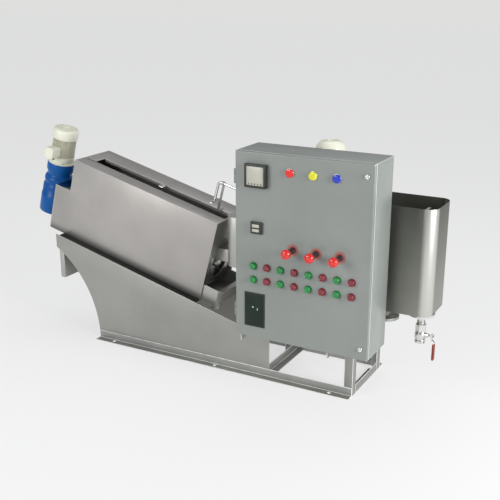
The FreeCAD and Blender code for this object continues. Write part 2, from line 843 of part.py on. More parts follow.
# An open tank folded from sheet, with rounded upright corners.
def open_tank(left, bottom, length, width, height):
    half = width / 2
    wall = tank_sheet
    body = new_body((left, 0, bottom))
    corners, arcs = rounded((as_size(0), -half), (length, half), tank_corner)
    pad(body, outline(body, "XY_Plane", corners, arcs), height)
    corners, arcs = rounded((wall, wall - half), (length - wall, half - wall), tank_corner - wall)
    pocket(body, outline(body, "XY_Plane", corners, arcs, height), height - wall)
    return body


def tank_cover(left, bottom, length, width, wall):
    body = new_body((left, 0, bottom))
    corners, arcs = rounded((as_size(0), -width / 2), (length, width / 2), tank_corner)
    pad(body, outline(body, "XY_Plane", corners, arcs), wall)
    return body


def build_tanks():
    node(open_tank(tank_left, bearer_top, tank_length, tank_width, tank_height), "flocculation_tank")
    node(tank_cover(tank_left, tank_top, tank_length, tank_width, lid_sheet), "tank_lid")
    tank = open_tank(tank_right, meter_bottom, meter_length, meter_width, meter_height)
    low = meter_bottom - tank_sheet
    drains = [prism(12, radius, tank_sheet * 3, (tank_right + inset, nozzle_across, low), "z")
              for inset, radius in ((nozzle_inset, nozzle_bore), (valve_inset, valve_bore))]
    node(cut(tank, *drains), "metering_tank")
    feed_length = tank_left - feed_left
    box = open_tank(feed_left, feed_bottom, feed_length, meter_width, feed_height)
    node(cut(box, duct_form(0)), "feed_box")
    half = duct_width
    seat = body_lower - end_plate_wall * 2
    drum = sloped(span_block((seat - duct_reach * 2, seat), (-half, half), (cover_bottom, cover_top)))
    node(cut(duct_form(0), drum, duct_form(duct_sheet)), "feed_duct")
    node(tank_cover(feed_left, feed_bottom + feed_height, feed_length, meter_width, tank_sheet), "feed_lid")


# A plate down into the metering tank with its top edge folded over.
def build_weir():
    left = tank_right + meter_length - weir_inset
    top = meter_bottom + meter_height - weir_drop
    front = tank_sheet - meter_width / 2
    across = (front, front + weir_length)
    plate = span_block((left, left + tank_sheet), across, (top - weir_height, top))
    fold = span_block((left, left + weir_fold), across, (top - tank_sheet, top))
    node(fuse(plate, fold), "weir_plate")


def build_agitator():
    x = tank_left + agitator_inset
    top = tank_top + lid_sheet
    foot = prism(turned_sides, agitator_foot_radius, agitator_foot_wall, (x, 0, top), "z")
    gear = prism(turned_sides, agitator_gear_radius, agitator_gear_height, (x, 0, top), "z")
    node(fuse(foot, gear), "agitator_gearbox")
    frame = motor_frame(agitator_motor_length)
    cowl = place(group(motor_cowl()), (0, 0, agitator_motor_length))
    node(place(group(fuse(frame, cowl)), (x, 0, top + agitator_gear_height)), "agitator_motor")


def build_nozzle():
    x = tank_right + nozzle_inset
    y = nozzle_across
    low = meter_bottom - nozzle_drop - nozzle_wall
    flange = prism(turned_sides, nozzle_flange, nozzle_wall, (x, y, low), "z")
    pipe = prism(16, nozzle_radius, meter_bottom - low, (x, y, low), "z")
    below = low - nozzle_wall
    bore = rod(nozzle_bore, nozzle_drop + nozzle_wall * 3, (x, y, below), "z")
    holes = [rod(nozzle_hole, nozzle_wall * 3, (x + shift_x, y + shift_y, below), "z")
             for shift_x, shift_y in ((nozzle_circle, 0), (-nozzle_circle, 0),
                                      (0, nozzle_circle), (0, -nozzle_circle))]
    node(cut(fuse(flange, pipe), bore, *holes), "outlet_nozzle")


# A ball valve under its pad: the stem runs in a boss and carries the cranked lever.
def build_valve():
    x = tank_right + valve_inset
    y = nozzle_across
    pad_low = meter_bottom - nozzle_wall
    nut_top = pad_low - stub_length
    body_top = nut_top - nut_length
    body_low = body_top - valve_length
    stem_rise = meter_bottom - stem_drop
    boss_end = x + boss_reach
    shapes = [prism(24, pad_radius, nozzle_wall, (x, y, pad_low), "z"),
              prism(16, nozzle_radius, pad_low - nut_top, (x, y, nut_top), "z"),
              prism(6, valve_nut, nut_length, (x, y, body_top), "z"),
              rod(valve_radius, valve_length, (x, y, body_low), "z"),
              rod(boss_radius, boss_reach, (x, y, stem_rise), "x")]
    bore = rod(valve_bore, meter_bottom - body_low, (x, y, body_low), "z")
    seat = rod(stem_radius + stem_gap, boss_reach, (x, y, stem_rise), "x")
    node(cut(fuse(*shapes), bore, seat), "drain_valve")
    stem_start = x + valve_bore
    back = x + stem_reach - lever_wall
    stem = rod(stem_radius, x + stem_reach - stem_start, (stem_start, y, stem_rise), "x")
    bend = stem_rise - lever_width
    foot = stem_rise - lever_length
    top = stem_rise + lever_width / 2
    corners = [(0, top), (0, bend), (lever_crank, bend - lever_drop), (lever_crank, foot),
               (lever_crank + lever_wall, foot), (lever_crank + lever_wall, bend - lever_drop),
               (lever_wall, bend), (lever_wall, top)]
    arm = section("XZ_Plane", corners, lever_width, (back, y + lever_width / 2, 0))
    node(fuse(stem, arm), "valve_handle")
    centre = back + lever_crank + lever_wall / 2
    low = foot - grip_cap
    grip = span_block((centre - grip_wall / 2, centre + grip_wall / 2),
                      (y - grip_width / 2, y + grip_width / 2), (low, low + grip_length))
    node(cut(grip, arm), "lever_grip")


# A quarter bend that leads from one direction of the pipe to the next.
def bend(spot, angle, axis):
    profile = doc.addObject("Part::RegularPolygon", "Profile")
    profile.Polygon = pipe_sides
    bind(profile, "Circumradius", pipe_radius)
    place(profile, (pipe_bend, 0, 0), 90, (1, 0, 0))
    item = doc.addObject("Part::Revolution", "Bend")
    item.Source = profile
    item.Axis = FreeCAD.Vector(0, 0, 1)
    item.Angle = 90
    item.Solid = True
    return place(item, spot, angle, axis)


def straight_pipe(length, spot, direction):
    return prism(pipe_sides, pipe_radius, length, spot, direction)


# The pipe runs from its tip over the slot to its open end, and is bored in its last run.
def build_pipe():
    r = pipe_bend
    low, high = pipe_low, pipe_high
    run = pipe_run - r
    last = (pipe_along + r, pipe_across, high)
    pipe = fuse(straight_pipe(pipe_reach - r, (pipe_along, pipe_across - pipe_reach, low), "y"),
                bend((pipe_along, pipe_across - r, low + r), 90, (0, 1, 0)),
                straight_pipe(high - low - r * 2, (pipe_along, pipe_across, low + r), "z"),
                bend((pipe_along + r, pipe_across, high - r), 180, (0, 1, 1)),
                straight_pipe(run, last, "x"))
    bore = prism(pipe_sides, pipe_radius - pipe_wall, run, last, "x")
    node(sloped(cut(pipe, bore)), "rinse_pipe")
    left = pipe_along + pipe_bend
    span = (left, left + stay_width)
    front = pipe_across + pipe_radius
    upright = span_block(span, (front, front + stay_sheet), (cover_top, pipe_high))
    foot = span_block(span, (front, front + stay_foot), (cover_top, cover_top + stay_sheet))
    middle = (left, pipe_across, pipe_high)
    clip = prism(pipe_sides, pipe_radius + stay_sheet, stay_width, middle, "x")
    hole = straight_pipe(stay_width, middle, "x")
    node(sloped(cut(fuse(upright, foot, clip), hole)), "pipe_stay")


# Rounds the edges that a test picks on the last feature of a body.
def soften(body, feature, radius, chosen):
    doc.recompute()
    names = ["Edge%d" % (i + 1) for i, edge in enumerate(feature.Shape.Edges) if chosen(edge)]
    rounding = body.newObject("PartDesign::Fillet", "Rounding")
    rounding.Base = (feature, names)
    bind(rounding, "Radius", radius)
    return rounding


def build_cabinet():
    left, right = cabinet_left, cabinet_left + cabinet_width
    low, high = shelf_top, shelf_top + cabinet_height
    wall = cabinet_sheet
    back = cabinet_back
    outer = span_block((left, right), (door_back, back), (low, high))
    inner = span_block((left + wall, right - wall), (door_back + wall, back - wall),
                       (low + wall, high - wall))
    rim = cabinet_rim
    mouth = span_block((left + rim, right - rim), (door_back - wall, door_back + wall * 2),
                       (low + rim, high - rim))
    node(cut(outer, inner, mouth), "cabinet_shell")
    margin = plate_margin
    rear = back - wall
    plate = span_block((left + margin, right - margin),
                       (rear - plate_standoff - plate_wall, rear - plate_standoff),
                       (low + margin, high - margin))
    corners = [(x, z) for x in (left + margin * 2, right - margin * 2)
               for z in (low + margin * 2, high - margin * 2)]
    posts = [prism(8, standoff_radius, plate_standoff, (x, rear - plate_standoff, z), "y")
             for x, z in corners]
    node(fuse(plate, *posts), "mounting_plate")


def build_door():
    depth = door_depth - door_gap
    body = new_body((cabinet_left, cabinet_front + depth, shelf_top))
    corners = [(0, 0), (cabinet_width, 0), (cabinet_width, cabinet_height), (0, cabinet_height)]
    slab = pad(body, outline(body, "XZ_Plane", corners), depth)
    face = 1 - depth.value
    soften(body, slab, door_corner, lambda edge: edge.BoundBox.YMax < face)
    wall = cabinet_sheet
    right, top = cabinet_width - wall, cabinet_height - wall
    corners = [(wall, wall), (right, wall), (right, top), (wall, top)]
    hollow = pocket(body, outline(body, "XZ_Plane", corners), depth - wall)
    hollow.Reversed = True
    node(body, "cabinet_door")


# Hinges on the cabinet's left side: the cabinet's leaves hold the pins, the door's turn on them.
def build_hinges():
    axis_x = cabinet_left - hinge_radius - hinge_clearance
    axis_y = door_back - door_gap / 2
    third = hinge_height / 3
    fixed, moving = [], []
    for middle in (shelf_top + hinge_inset, shelf_top + cabinet_height - hinge_inset):
        low = middle - hinge_height / 2
        leaf = span_block((cabinet_left - hinge_leaf_wall, cabinet_left),
                          (door_back, door_back + hinge_leaf), (low, low + hinge_height))
        knuckle = prism(12, hinge_radius, hinge_height, (axis_x, axis_y, low), "z")
        room = prism(12, hinge_radius + hinge_clearance, third, (axis_x, axis_y, low + third), "z")
        pin = prism(12, hinge_pin, hinge_height, (axis_x, axis_y, low), "z")
        fixed.append(fuse(cut(fuse(leaf, knuckle), room), pin))
        start = low + third + hinge_play
        length = third - hinge_play * 2
        turning = prism(12, hinge_radius, length, (axis_x, axis_y, start), "z")
        arm = span_block((axis_x, cabinet_left), (cabinet_front + door_corner, door_back - door_gap),
                         (start, start + length))
        hole = rod(hinge_pin + stem_gap, length, (axis_x, axis_y, start), "z")
        moving.append(cut(fuse(turning, arm), hole))
    node(group(*fixed), "cabinet_hinges")
    node(group(*moving), "door_hinges")


# A point on the door's outer face, from the cabinet's lower left corner.
def on_door(across, up, out=0):
    return (cabinet_left + across, cabinet_front - out, shelf_top + up)


# A square or upright plate on the door, standing out by its depth.
def door_plate(across, up, width, height, depth, out=0):
    x, y, z = on_door(across, up, out)
    return span_block((x - width / 2, x + width / 2), (y - depth, y), (z - height / 2, z + height / 2))


# A knob or stem of many sides that stands out from the door.
def door_knob(sides, radius, length, across, up, out=0):
    x, y, z = on_door(across, up, out)
    return prism(sides, radius, length, (x, y - length, z), "y")


def build_displays():
    face = meter_face - meter_frame * 2
    bezel = door_plate(display_across, meter_up, meter_face, meter_face, meter_stand)
    glass = door_plate(display_across, meter_up, face, face, meter_recess, meter_stand - meter_recess)
    node(cut(bezel, glass), "panel_meter")
    bezel = door_plate(display_across, gauge_up, gauge_face, gauge_face, gauge_stand)
    tools = []
    for shift, height in ((gauge_upper, gauge_upper_height), (gauge_lower, gauge_lower_height)):
        tools.append(door_plate(display_across, gauge_up + shift, gauge_face - gauge_frame * 2, height,
                                gauge_recess, gauge_stand - gauge_recess))
    node(cut(bezel, *tools), "panel_gauge")


def build_buttons():
    lamps = []
    for i in range(3):
        across = lamp_across + lamp_pitch * i
        lamps.append(fuse(door_knob(12, lamp_ring, lamp_collar, across, lamp_up),
                          door_knob(12, lamp_radius, lamp_stand, across, lamp_up)))
    node(group(*lamps), "pilot_lamps")
    buttons = []
    for row in range(2):
        for i in range(button_count):
            across = button_across + button_pitch * i
            up = button_low + button_rows * row
            buttons.append(fuse(door_knob(10, button_ring, button_collar, across, up),
                                door_knob(10, button_radius, button_stand, across, up)))
    node(group(*buttons), "push_buttons")
    collars = []
    for i, name in enumerate(("left", "middle", "right")):
        across = stop_across + stop_pitch * i
        seat = stop_collar_length - stop_seat
        collar = door_knob(16, stop_collar_radius, stop_collar_length, across, stop_up)
        bore = door_knob(12, stop_stem + stem_gap, seat, across, stop_up, stop_seat)
        collars.append(cut(collar, bore))
        out = stop_collar_length + stop_gap
        head = door_knob(16, stop_head_radius, stop_head_length, across, stop_up, out)
        inner = stop_seat + stop_travel * 2
        stem = door_knob(12, stop_stem, out - inner, across, stop_up, inner)
        node(fuse(head, stem), "stop_head_%s" % name)
    node(group(*collars), "stop_collars")


def build_door_fittings():
    across = window_across + window_width / 2
    up = window_up + window_height / 2
    node(door_plate(across, up, window_width, window_height, window_wall), "window_plate")
    locks = [door_knob(16, lock_radius, lock_stand, cabinet_width - lock_inset, up)
             for up in (lock_up, cabinet_height - lock_up)]
    node(group(*locks), "door_locks")


build_base()
build_cheeks()
build_chute()
build_bearers()
build_covers()
build_end_plates()
build_drum()
build_tray()
build_gearbox()
build_drive()
build_supports()
build_tanks()
build_weir()
build_agitator()
build_nozzle()
build_valve()
build_pipe()
build_cabinet()
build_door()
build_hinges()
build_displays()
build_buttons()
build_door_fittings()


def check_and_write():
    doc.recompute()
    for item in doc.Objects:
        if "Invalid" in item.State or "Error" in item.State:
            raise ValueError("%s (%s) failed: %s" % (item.Name, item.Label, item.State))
    for item in nodes:
        if item.Shape.isNull() or not item.Shape.isValid():
            raise ValueError("%s has no valid shape" % item.Label)
    os.makedirs("parts", exist_ok=True)
    for item in nodes:
        item.Shape.exportStep("parts/%s.step" % item.Label)


check_and_write()
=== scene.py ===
import bpy
import json
import math
from mathutils import Euler, Matrix, Vector


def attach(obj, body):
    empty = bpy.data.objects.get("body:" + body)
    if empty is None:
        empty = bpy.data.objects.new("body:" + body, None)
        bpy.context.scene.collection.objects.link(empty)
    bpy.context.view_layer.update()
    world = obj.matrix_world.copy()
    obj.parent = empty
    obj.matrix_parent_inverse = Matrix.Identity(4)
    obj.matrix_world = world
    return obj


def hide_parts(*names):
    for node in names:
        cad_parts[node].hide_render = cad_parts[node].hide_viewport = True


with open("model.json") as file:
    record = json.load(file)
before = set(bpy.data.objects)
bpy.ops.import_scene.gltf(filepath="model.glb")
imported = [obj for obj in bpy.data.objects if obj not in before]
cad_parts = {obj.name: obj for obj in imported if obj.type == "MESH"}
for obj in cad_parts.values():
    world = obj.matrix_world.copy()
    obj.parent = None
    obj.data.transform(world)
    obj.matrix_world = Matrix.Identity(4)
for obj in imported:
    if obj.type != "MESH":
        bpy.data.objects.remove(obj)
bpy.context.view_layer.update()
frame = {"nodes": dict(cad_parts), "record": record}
print("frame loaded")

mm = 0.001
quarter = math.pi / 2
asMade = (0, 0, 0)  # a place or a turn that stays as modelled
toRight = (0, quarter, 0)  # a piece's own z turned along +x
toLeft = (0, -quarter, 0)
toFront = (quarter, 0, 0)  # a piece's own z turned along -y
toBack = (-quarter, 0, 0)
toFloor = (math.pi, 0, 0)
facingFront = (0, -1, 0)
facingBack = (0, 1, 0)
slopeAngle = math.radians(15)
slopeStart = -686  # the rails' left end, where the sloped body is measured from
slopeMatrix = Matrix.Translation((slopeStart * mm, 0, 0)) @ Matrix.Rotation(slopeAngle, 4, "Y")
sharpEdge = math.radians(40)  # edges that turn by more are rounded
mergeGap = 0.000001  # metres: points nearer than this become one


# Modelling by hand: each call works on one selected piece

def deselect():
    if bpy.context.object and bpy.context.object.mode != "OBJECT":
        bpy.ops.object.mode_set(mode="OBJECT")
    bpy.ops.object.select_all(action="DESELECT")


def activate(piece):
    deselect()
    piece.select_set(True)
    bpy.context.view_layer.objects.active = piece


def settle(piece, place=asMade, turn=asMade, sloped=False):
    activate(piece)
    piece.location = Vector(place) * mm
    piece.rotation_euler = turn
    bpy.ops.object.transform_apply(location=True, rotation=True, scale=True)
    if sloped:
        piece.data.transform(slopeMatrix)
    return piece


def roundEdges(piece, width, segments=2, clamp=True, edgeMaterial=-1):
    activate(piece)
    rounding = piece.modifiers.new("edges", "BEVEL")
    rounding.width = width * mm
    rounding.segments = segments
    rounding.limit_method = "ANGLE"
    rounding.angle_limit = sharpEdge
    rounding.use_clamp_overlap = clamp
    rounding.material = edgeMaterial
    bpy.ops.object.modifier_apply(modifier="edges")
    return piece


def drawOn(move):
    # extrudes what is selected by so many millimetres
    value = tuple(part * mm for part in move)
    bpy.ops.mesh.extrude_region_move(TRANSFORM_OT_translate={"value": value})


def closeUp():
    # merges doubles, turns every face outwards and leaves edit mode
    bpy.ops.mesh.select_all(action="SELECT")
    bpy.ops.mesh.remove_doubles(threshold=mergeGap)
    bpy.ops.mesh.normals_make_consistent(inside=False)
    bpy.ops.object.mode_set(mode="OBJECT")


def turned(name, outline, sides=48, place=asMade, turn=asMade, sloped=False):
    # outline: radius and height pairs; one that comes back to its start is an open ring
    deselect()
    ring = outline[0] == outline[-1]
    radius, height = outline[0]
    bpy.ops.mesh.primitive_circle_add(vertices=sides, radius=radius * mm,
                                      fill_type="NOTHING" if ring else "NGON")
    piece = bpy.context.object
    piece.name = name
    bpy.ops.object.mode_set(mode="EDIT")
    bpy.ops.mesh.select_mode(type="VERT")  # a bare circle can't be selected by faces
    bpy.ops.mesh.select_all(action="SELECT")
    bpy.ops.transform.translate(value=(0, 0, height * mm))
    for nextRadius, nextHeight in outline[1:]:
        drawOn((0, 0, nextHeight - height))
        share = nextRadius / radius
        bpy.ops.transform.resize(value=(share, share, 1), center_override=(0, 0, 0))
        radius, height = nextRadius, nextHeight
    closeUp()
    return settle(piece, place, turn, sloped)


def block(name, low, high, rounding=0.6, segments=2, sloped=False):
    deselect()
    middle = [(a + b) / 2 * mm for a, b in zip(low, high)]
    span = [(b - a) * mm for a, b in zip(low, high)]
    bpy.ops.mesh.primitive_cube_add(size=1, location=middle, scale=span)
    piece = bpy.context.object
    piece.name = name
    bpy.ops.object.transform_apply(location=True, rotation=True, scale=True)
    if rounding:
        roundEdges(piece, rounding, segments)
    if sloped:
        piece.data.transform(slopeMatrix)
    return piece


def recess(piece, facing, border, depth):
    # pushes in the middle of the largest face that looks along facing
    activate(piece)
    faces = [f for f in piece.data.polygons if f.normal.dot(Vector(facing)) > 0.99]
    widest = max(faces, key=lambda f: f.area).index
    bpy.ops.object.mode_set(mode="EDIT")
    bpy.ops.mesh.select_mode(type="FACE")
    bpy.ops.mesh.select_all(action="DESELECT")
    bpy.ops.object.mode_set(mode="OBJECT")
    piece.data.polygons[widest].select = True
    bpy.ops.object.mode_set(mode="EDIT")
    bpy.ops.mesh.inset(thickness=border * mm)
    drawOn(-Vector(facing) * depth)
    bpy.ops.object.mode_set(mode="OBJECT")
    return piece


def carve(piece, *cutters):
    for cutter in cutters:
        activate(piece)
        cut = piece.modifiers.new("cut", "BOOLEAN")
        cut.operation = "DIFFERENCE"
        cut.object = cutter
        bpy.ops.object.modifier_apply(modifier="cut")
        bpy.data.objects.remove(cutter, do_unlink=True)
    return piece


def joined(name, pieces):
    deselect()
    for piece in pieces:
        piece.select_set(True)
    bpy.context.view_layer.objects.active = pieces[0]
    bpy.ops.object.join()
    pieces[0].name = name
    return pieces[0]


def spread(name, master, spots, sloped=False):
    # one copy of the master for each place and turn, all in one piece
    copies = []
    for place, turn in spots:
        twin = master.copy()
        twin.data = master.data.copy()
        bpy.context.scene.collection.objects.link(twin)
        twin.data.transform(Matrix.Translation(Vector(place) * mm) @ Euler(turn).to_matrix().to_4x4())
        copies.append(twin)
    bpy.data.objects.remove(master, do_unlink=True)
    piece = joined(name, copies)
    if sloped:
        piece.data.transform(slopeMatrix)
    return piece


# Materials

def newMaterial(name):
    material = bpy.data.materials.new(name)
    material.use_nodes = True
    return material, material.node_tree, material.node_tree.nodes["Principled BSDF"]


def addNode(tree, kind, **values):
    node = tree.nodes.new(kind)
    for key, value in values.items():
        if key in node.inputs:
            node.inputs[key].default_value = value
        else:
            setattr(node, key, value)
    return node


def mapped(tree, source, **values):
    node = addNode(tree, "ShaderNodeMapping", **values)
    tree.links.new(source, node.inputs["Vector"])
    return node.outputs["Vector"]


def noise(tree, source, scale, detail, roughness):
    node = addNode(tree, "ShaderNodeTexNoise", Scale=scale, Detail=detail, Roughness=roughness)
    tree.links.new(source, node.inputs["Vector"])
    return node.outputs["Fac"]


def ramp(tree, source, low, high, ends=(0.3, 0.7)):
    node = addNode(tree, "ShaderNodeValToRGB")
    for element, place, colour in zip(node.color_ramp.elements, ends, (low, high)):
        element.position = place
        element.color = (*colour, 1)
    tree.links.new(source, node.inputs["Fac"])
    return node.outputs["Color"]


def ranged(tree, source, start, end, low, high):
    node = addNode(tree, "ShaderNodeMapRange",
                   **{"From Min": start, "From Max": end, "To Min": low, "To Max": high})
    tree.links.new(source, node.inputs["Value"])
    return node.outputs["Result"]


def awayFrom(tree, source, spot):
    node = addNode(tree, "ShaderNodeVectorMath", operation="DISTANCE")
    tree.links.new(source, node.inputs[0])
    node.inputs[1].default_value = spot
    return node.outputs["Value"]


def blended(tree, share, first, second):
    node = addNode(tree, "ShaderNodeMix", data_type="RGBA")
    for number, value in ((0, share), (6, first), (7, second)):  # the sockets that a colour mix uses
        if isinstance(value, (tuple, float)):
            node.inputs[number].default_value = value
        else:
            tree.links.new(value, node.inputs[number])
    return node.outputs[2]


# near-black tone of the painted shade laid on the covers and the tank
paintedShadeTone = (0.035, 0.037, 0.032, 1.0)
grimeSpots = {"scale": 22.0, "detail": 8.0, "roughness": 0.72}
grainBump = 0.0003  # metres from the grain's valleys to its tops


def finishNodes(name, look):
    # shared by metal and paint: clouded colour, fine grain in roughness and bump, and grime;
    # a painted shade darkens a piece from a level down or up, and a painted highlight brightens it round an
    # upright line
    material, tree, shader = newMaterial(name)
    own = addNode(tree, "ShaderNodeTexCoord").outputs["Object"]
    level = mapped(tree, own, Rotation=look.get("turn", asMade))
    clouds = noise(tree, level, look.get("cloudScale", 6.0), 5.0, 0.55)
    lines = noise(tree, mapped(tree, level, Scale=look.get("grain", (500, 500, 500))), 1.0, 3.0, 0.6)
    spots = noise(tree, level, **grimeSpots)
    colour = ramp(tree, clouds, look["dark"], look["light"])
    streaks = ramp(tree, lines, look["dark"], look["light"], (0.35, 0.65))
    colour = blended(tree, look.get("streak", 0.12), colour, streaks)
    grime = ramp(tree, spots, (0, 0, 0), (1, 1, 1), (0.55, 0.8))
    worn = tuple(c * look.get("grimeTone", 0.7) for c in look["dark"]) + (1.0,)
    colour = blended(tree, ranged(tree, grime, 0, 1, 0, look.get("grime", 0.15)), colour, worn)
    # painted shade: the colour darkened towards a level
    if "hem" in look:
        low, high, depth = look["hem"]
        split = addNode(tree, "ShaderNodeSeparateXYZ")
        tree.links.new(level, split.inputs["Vector"])
        colour = blended(tree, ranged(tree, split.outputs["Z"], low, high, depth, 0.0), colour, paintedShadeTone)
    # painted highlight: the colour lightened round an upright line
    if "band" in look:
        spot, near, far, tone = look["band"]
        away = awayFrom(tree, mapped(tree, own, Scale=(1, 1, 0)), spot)
        colour = blended(tree, ranged(tree, away, near, far, 1.0, 0.0), colour, tone)
    tree.links.new(colour, shader.inputs["Base Color"])
    tree.links.new(ranged(tree, lines, 0.25, 0.75, *look["rough"]), shader.inputs["Roughness"])
    bump = addNode(tree, "ShaderNodeBump", Strength=look.get("bump", 0.15), Distance=grainBump)
    tree.links.new(lines, bump.inputs["Height"])
    tree.links.new(bump.outputs["Normal"], shader.inputs["Normal"])
    return material, shader


def metalFinish(name, look):
    material, shader = finishNodes(name, look)
    shader.inputs["Metallic"].default_value = look["metal"]
    return material


def paintFinish(name, look):
    material, shader = finishNodes(name, look)
    shader.inputs["Coat Weight"].default_value = look.get("coat", 0.0)
    shader.inputs["Coat Roughness"].default_value = look.get("coatRough", 0.1)
    shader.inputs["Specular IOR Level"].default_value = look.get("specular", 0.5)
    return material


# Sheets lie with their grain along the slope; a Mapping turn brings the slope level
sheetTurn = (0, -slopeAngle, 0)
paintedShadeLift = -slopeStart * mm * math.sin(slopeAngle)  # the slope frame's rise where Mapping only turns
lensGloss = {"rough": (0.16, 0.26), "coat": 0.4, "bump": 0.03, "grain": (900, 900, 60), "grime": 0.05}
capGloss = {"rough": (0.16, 0.26), "coat": 0.6, "bump": 0.02}
ringGloss = {"rough": (0.2, 0.3), "coat": 0.4}
edgeGloss = {"rough": (0.34, 0.46)}

finishes = {
    "frame_steel": metalFinish("frameSteel", {
        "metal": 0.62, "dark": (0.27, 0.275, 0.262), "light": (0.37, 0.375, 0.355), "streak": 0.3,
        "grain": (30, 420, 420), "cloudScale": 6, "rough": (0.36, 0.52), "bump": 0.2, "grime": 0.35}),
    "cheek_steel": metalFinish("cheekSteel", {
        "metal": 0.5, "dark": (0.325, 0.322, 0.305), "light": (0.39, 0.385, 0.362), "turn": sheetTurn,
        "grain": (16, 420, 420), "cloudScale": 3.4, "rough": (0.38, 0.5), "bump": 0.07, "grime": 0.12}),
    "cover_steel": metalFinish("coverSteel", {
        "metal": 0.5, "dark": (0.365, 0.348, 0.332), "light": (0.455, 0.437, 0.415), "turn": sheetTurn,
        "grain": (14, 420, 420), "cloudScale": 3.2, "rough": (0.34, 0.46), "bump": 0.06, "grime": 0.1,
        # painted shade darkens the covers towards their lower edge, over the cheeks
        "hem": (0.432 - paintedShadeLift, 0.470 - paintedShadeLift, 0.85)}),
    "stainless": metalFinish("stainless", {
        "metal": 0.7, "dark": (0.38, 0.38, 0.36), "light": (0.50, 0.495, 0.47), "streak": 0.25,
        "grain": (22, 420, 420), "cloudScale": 5, "rough": (0.32, 0.48), "bump": 0.12, "grime": 0.25}),
    "drum_steel": metalFinish("drumSteel", {
        "metal": 0.95, "dark": (0.30, 0.31, 0.30), "light": (0.48, 0.48, 0.46), "turn": sheetTurn,
        "grain": (420, 50, 50), "cloudScale": 9, "rough": (0.25, 0.42), "bump": 0.15, "grime": 0.3}),
    "tank_steel": metalFinish("tankSteel", {
        "metal": 0.85, "dark": (0.25, 0.255, 0.225), "light": (0.31, 0.315, 0.28), "streak": 0.06,
        "grain": (30, 30, 420), "cloudScale": 3.5, "rough": (0.34, 0.44), "bump": 0.06, "grime": 0.08,
        # the tank: painted shade darkens its upper part, and a painted highlight brightens its front right
        # corner
        "hem": (0.88, 0.42, 0.6), "band": ((0.974, -0.099, 0), 0.024, 0.042, (0.58, 0.58, 0.55, 1.0))}),
    "bright_pipe": metalFinish("brightPipe", {
        "metal": 1.0, "dark": (0.66, 0.66, 0.64), "light": (0.82, 0.82, 0.80),
        "grain": (90, 90, 90), "cloudScale": 20, "rough": (0.1, 0.2), "bump": 0.05, "grime": 0.1}),
    "zinc_plate": metalFinish("zincPlate", {
        "metal": 0.9, "dark": (0.50, 0.51, 0.50), "light": (0.66, 0.67, 0.66),
        "grain": (160, 160, 160), "cloudScale": 40, "rough": (0.24, 0.42), "bump": 0.1, "grime": 0.2}),
    "gear_blue": paintFinish("gearBlue", {
        "dark": (0.001, 0.075, 0.29), "light": (0.001, 0.105, 0.38), "rough": (0.34, 0.44), "coat": 0.14,
        "coatRough": 0.2, "specular": 0.18, "grain": (260, 260, 260), "bump": 0.06, "grime": 0.25,
        "grimeTone": 0.5}),
    "motor_cream": paintFinish("motorCream", {
        "dark": (0.74, 0.74, 0.61), "light": (0.84, 0.84, 0.71), "rough": (0.28, 0.42), "coat": 0.3,
        "grain": (300, 300, 300), "bump": 0.1, "grime": 0.2, "grimeTone": 0.7}),
    "cabinet_paint": paintFinish("cabinetPaint", {
        "dark": (0.222, 0.242, 0.226), "light": (0.268, 0.288, 0.27), "rough": (0.28, 0.38), "coat": 0.12,
        "coatRough": 0.24, "grain": (700, 700, 700), "bump": 0.12, "cloudScale": 2.6, "grime": 0.1}),
    "grip_red": paintFinish("gripRed", {
        "dark": (0.19, 0.026, 0.014), "light": (0.27, 0.04, 0.022), "rough": (0.4, 0.55), "grime": 0.3}),
    "meter_black": paintFinish("meterBlack", {
        "dark": (0.014, 0.017, 0.014), "light": (0.024, 0.028, 0.023), "rough": (0.34, 0.46)}),
    "lamp_lens": paintFinish("lampRed", {
        "dark": (0.62, 0.006, 0.005), "light": (0.82, 0.012, 0.008), **lensGloss}),
    "button_cap": paintFinish("buttonGreen", {
        "dark": (0.006, 0.20, 0.04), "light": (0.012, 0.29, 0.065), **capGloss}),
    "stop_red": paintFinish("stopRed", {
        "dark": (0.60, 0.008, 0.005), "light": (0.78, 0.014, 0.009), "rough": (0.12, 0.2), "coat": 1.0,
        "coatRough": 0.06, "bump": 0.02, "grime": 0.04}),
    "collar_black": paintFinish("collarBlack", {
        "dark": (0.010, 0.010, 0.010), "light": (0.020, 0.020, 0.020), "rough": (0.25, 0.38), "coat": 0.3}),
    "window_dark": paintFinish("windowDark", {
        "dark": (0.010, 0.019, 0.014), "light": (0.018, 0.029, 0.022), "rough": (0.3, 0.4), "specular": 0.2,
        "bump": 0.02}),
}
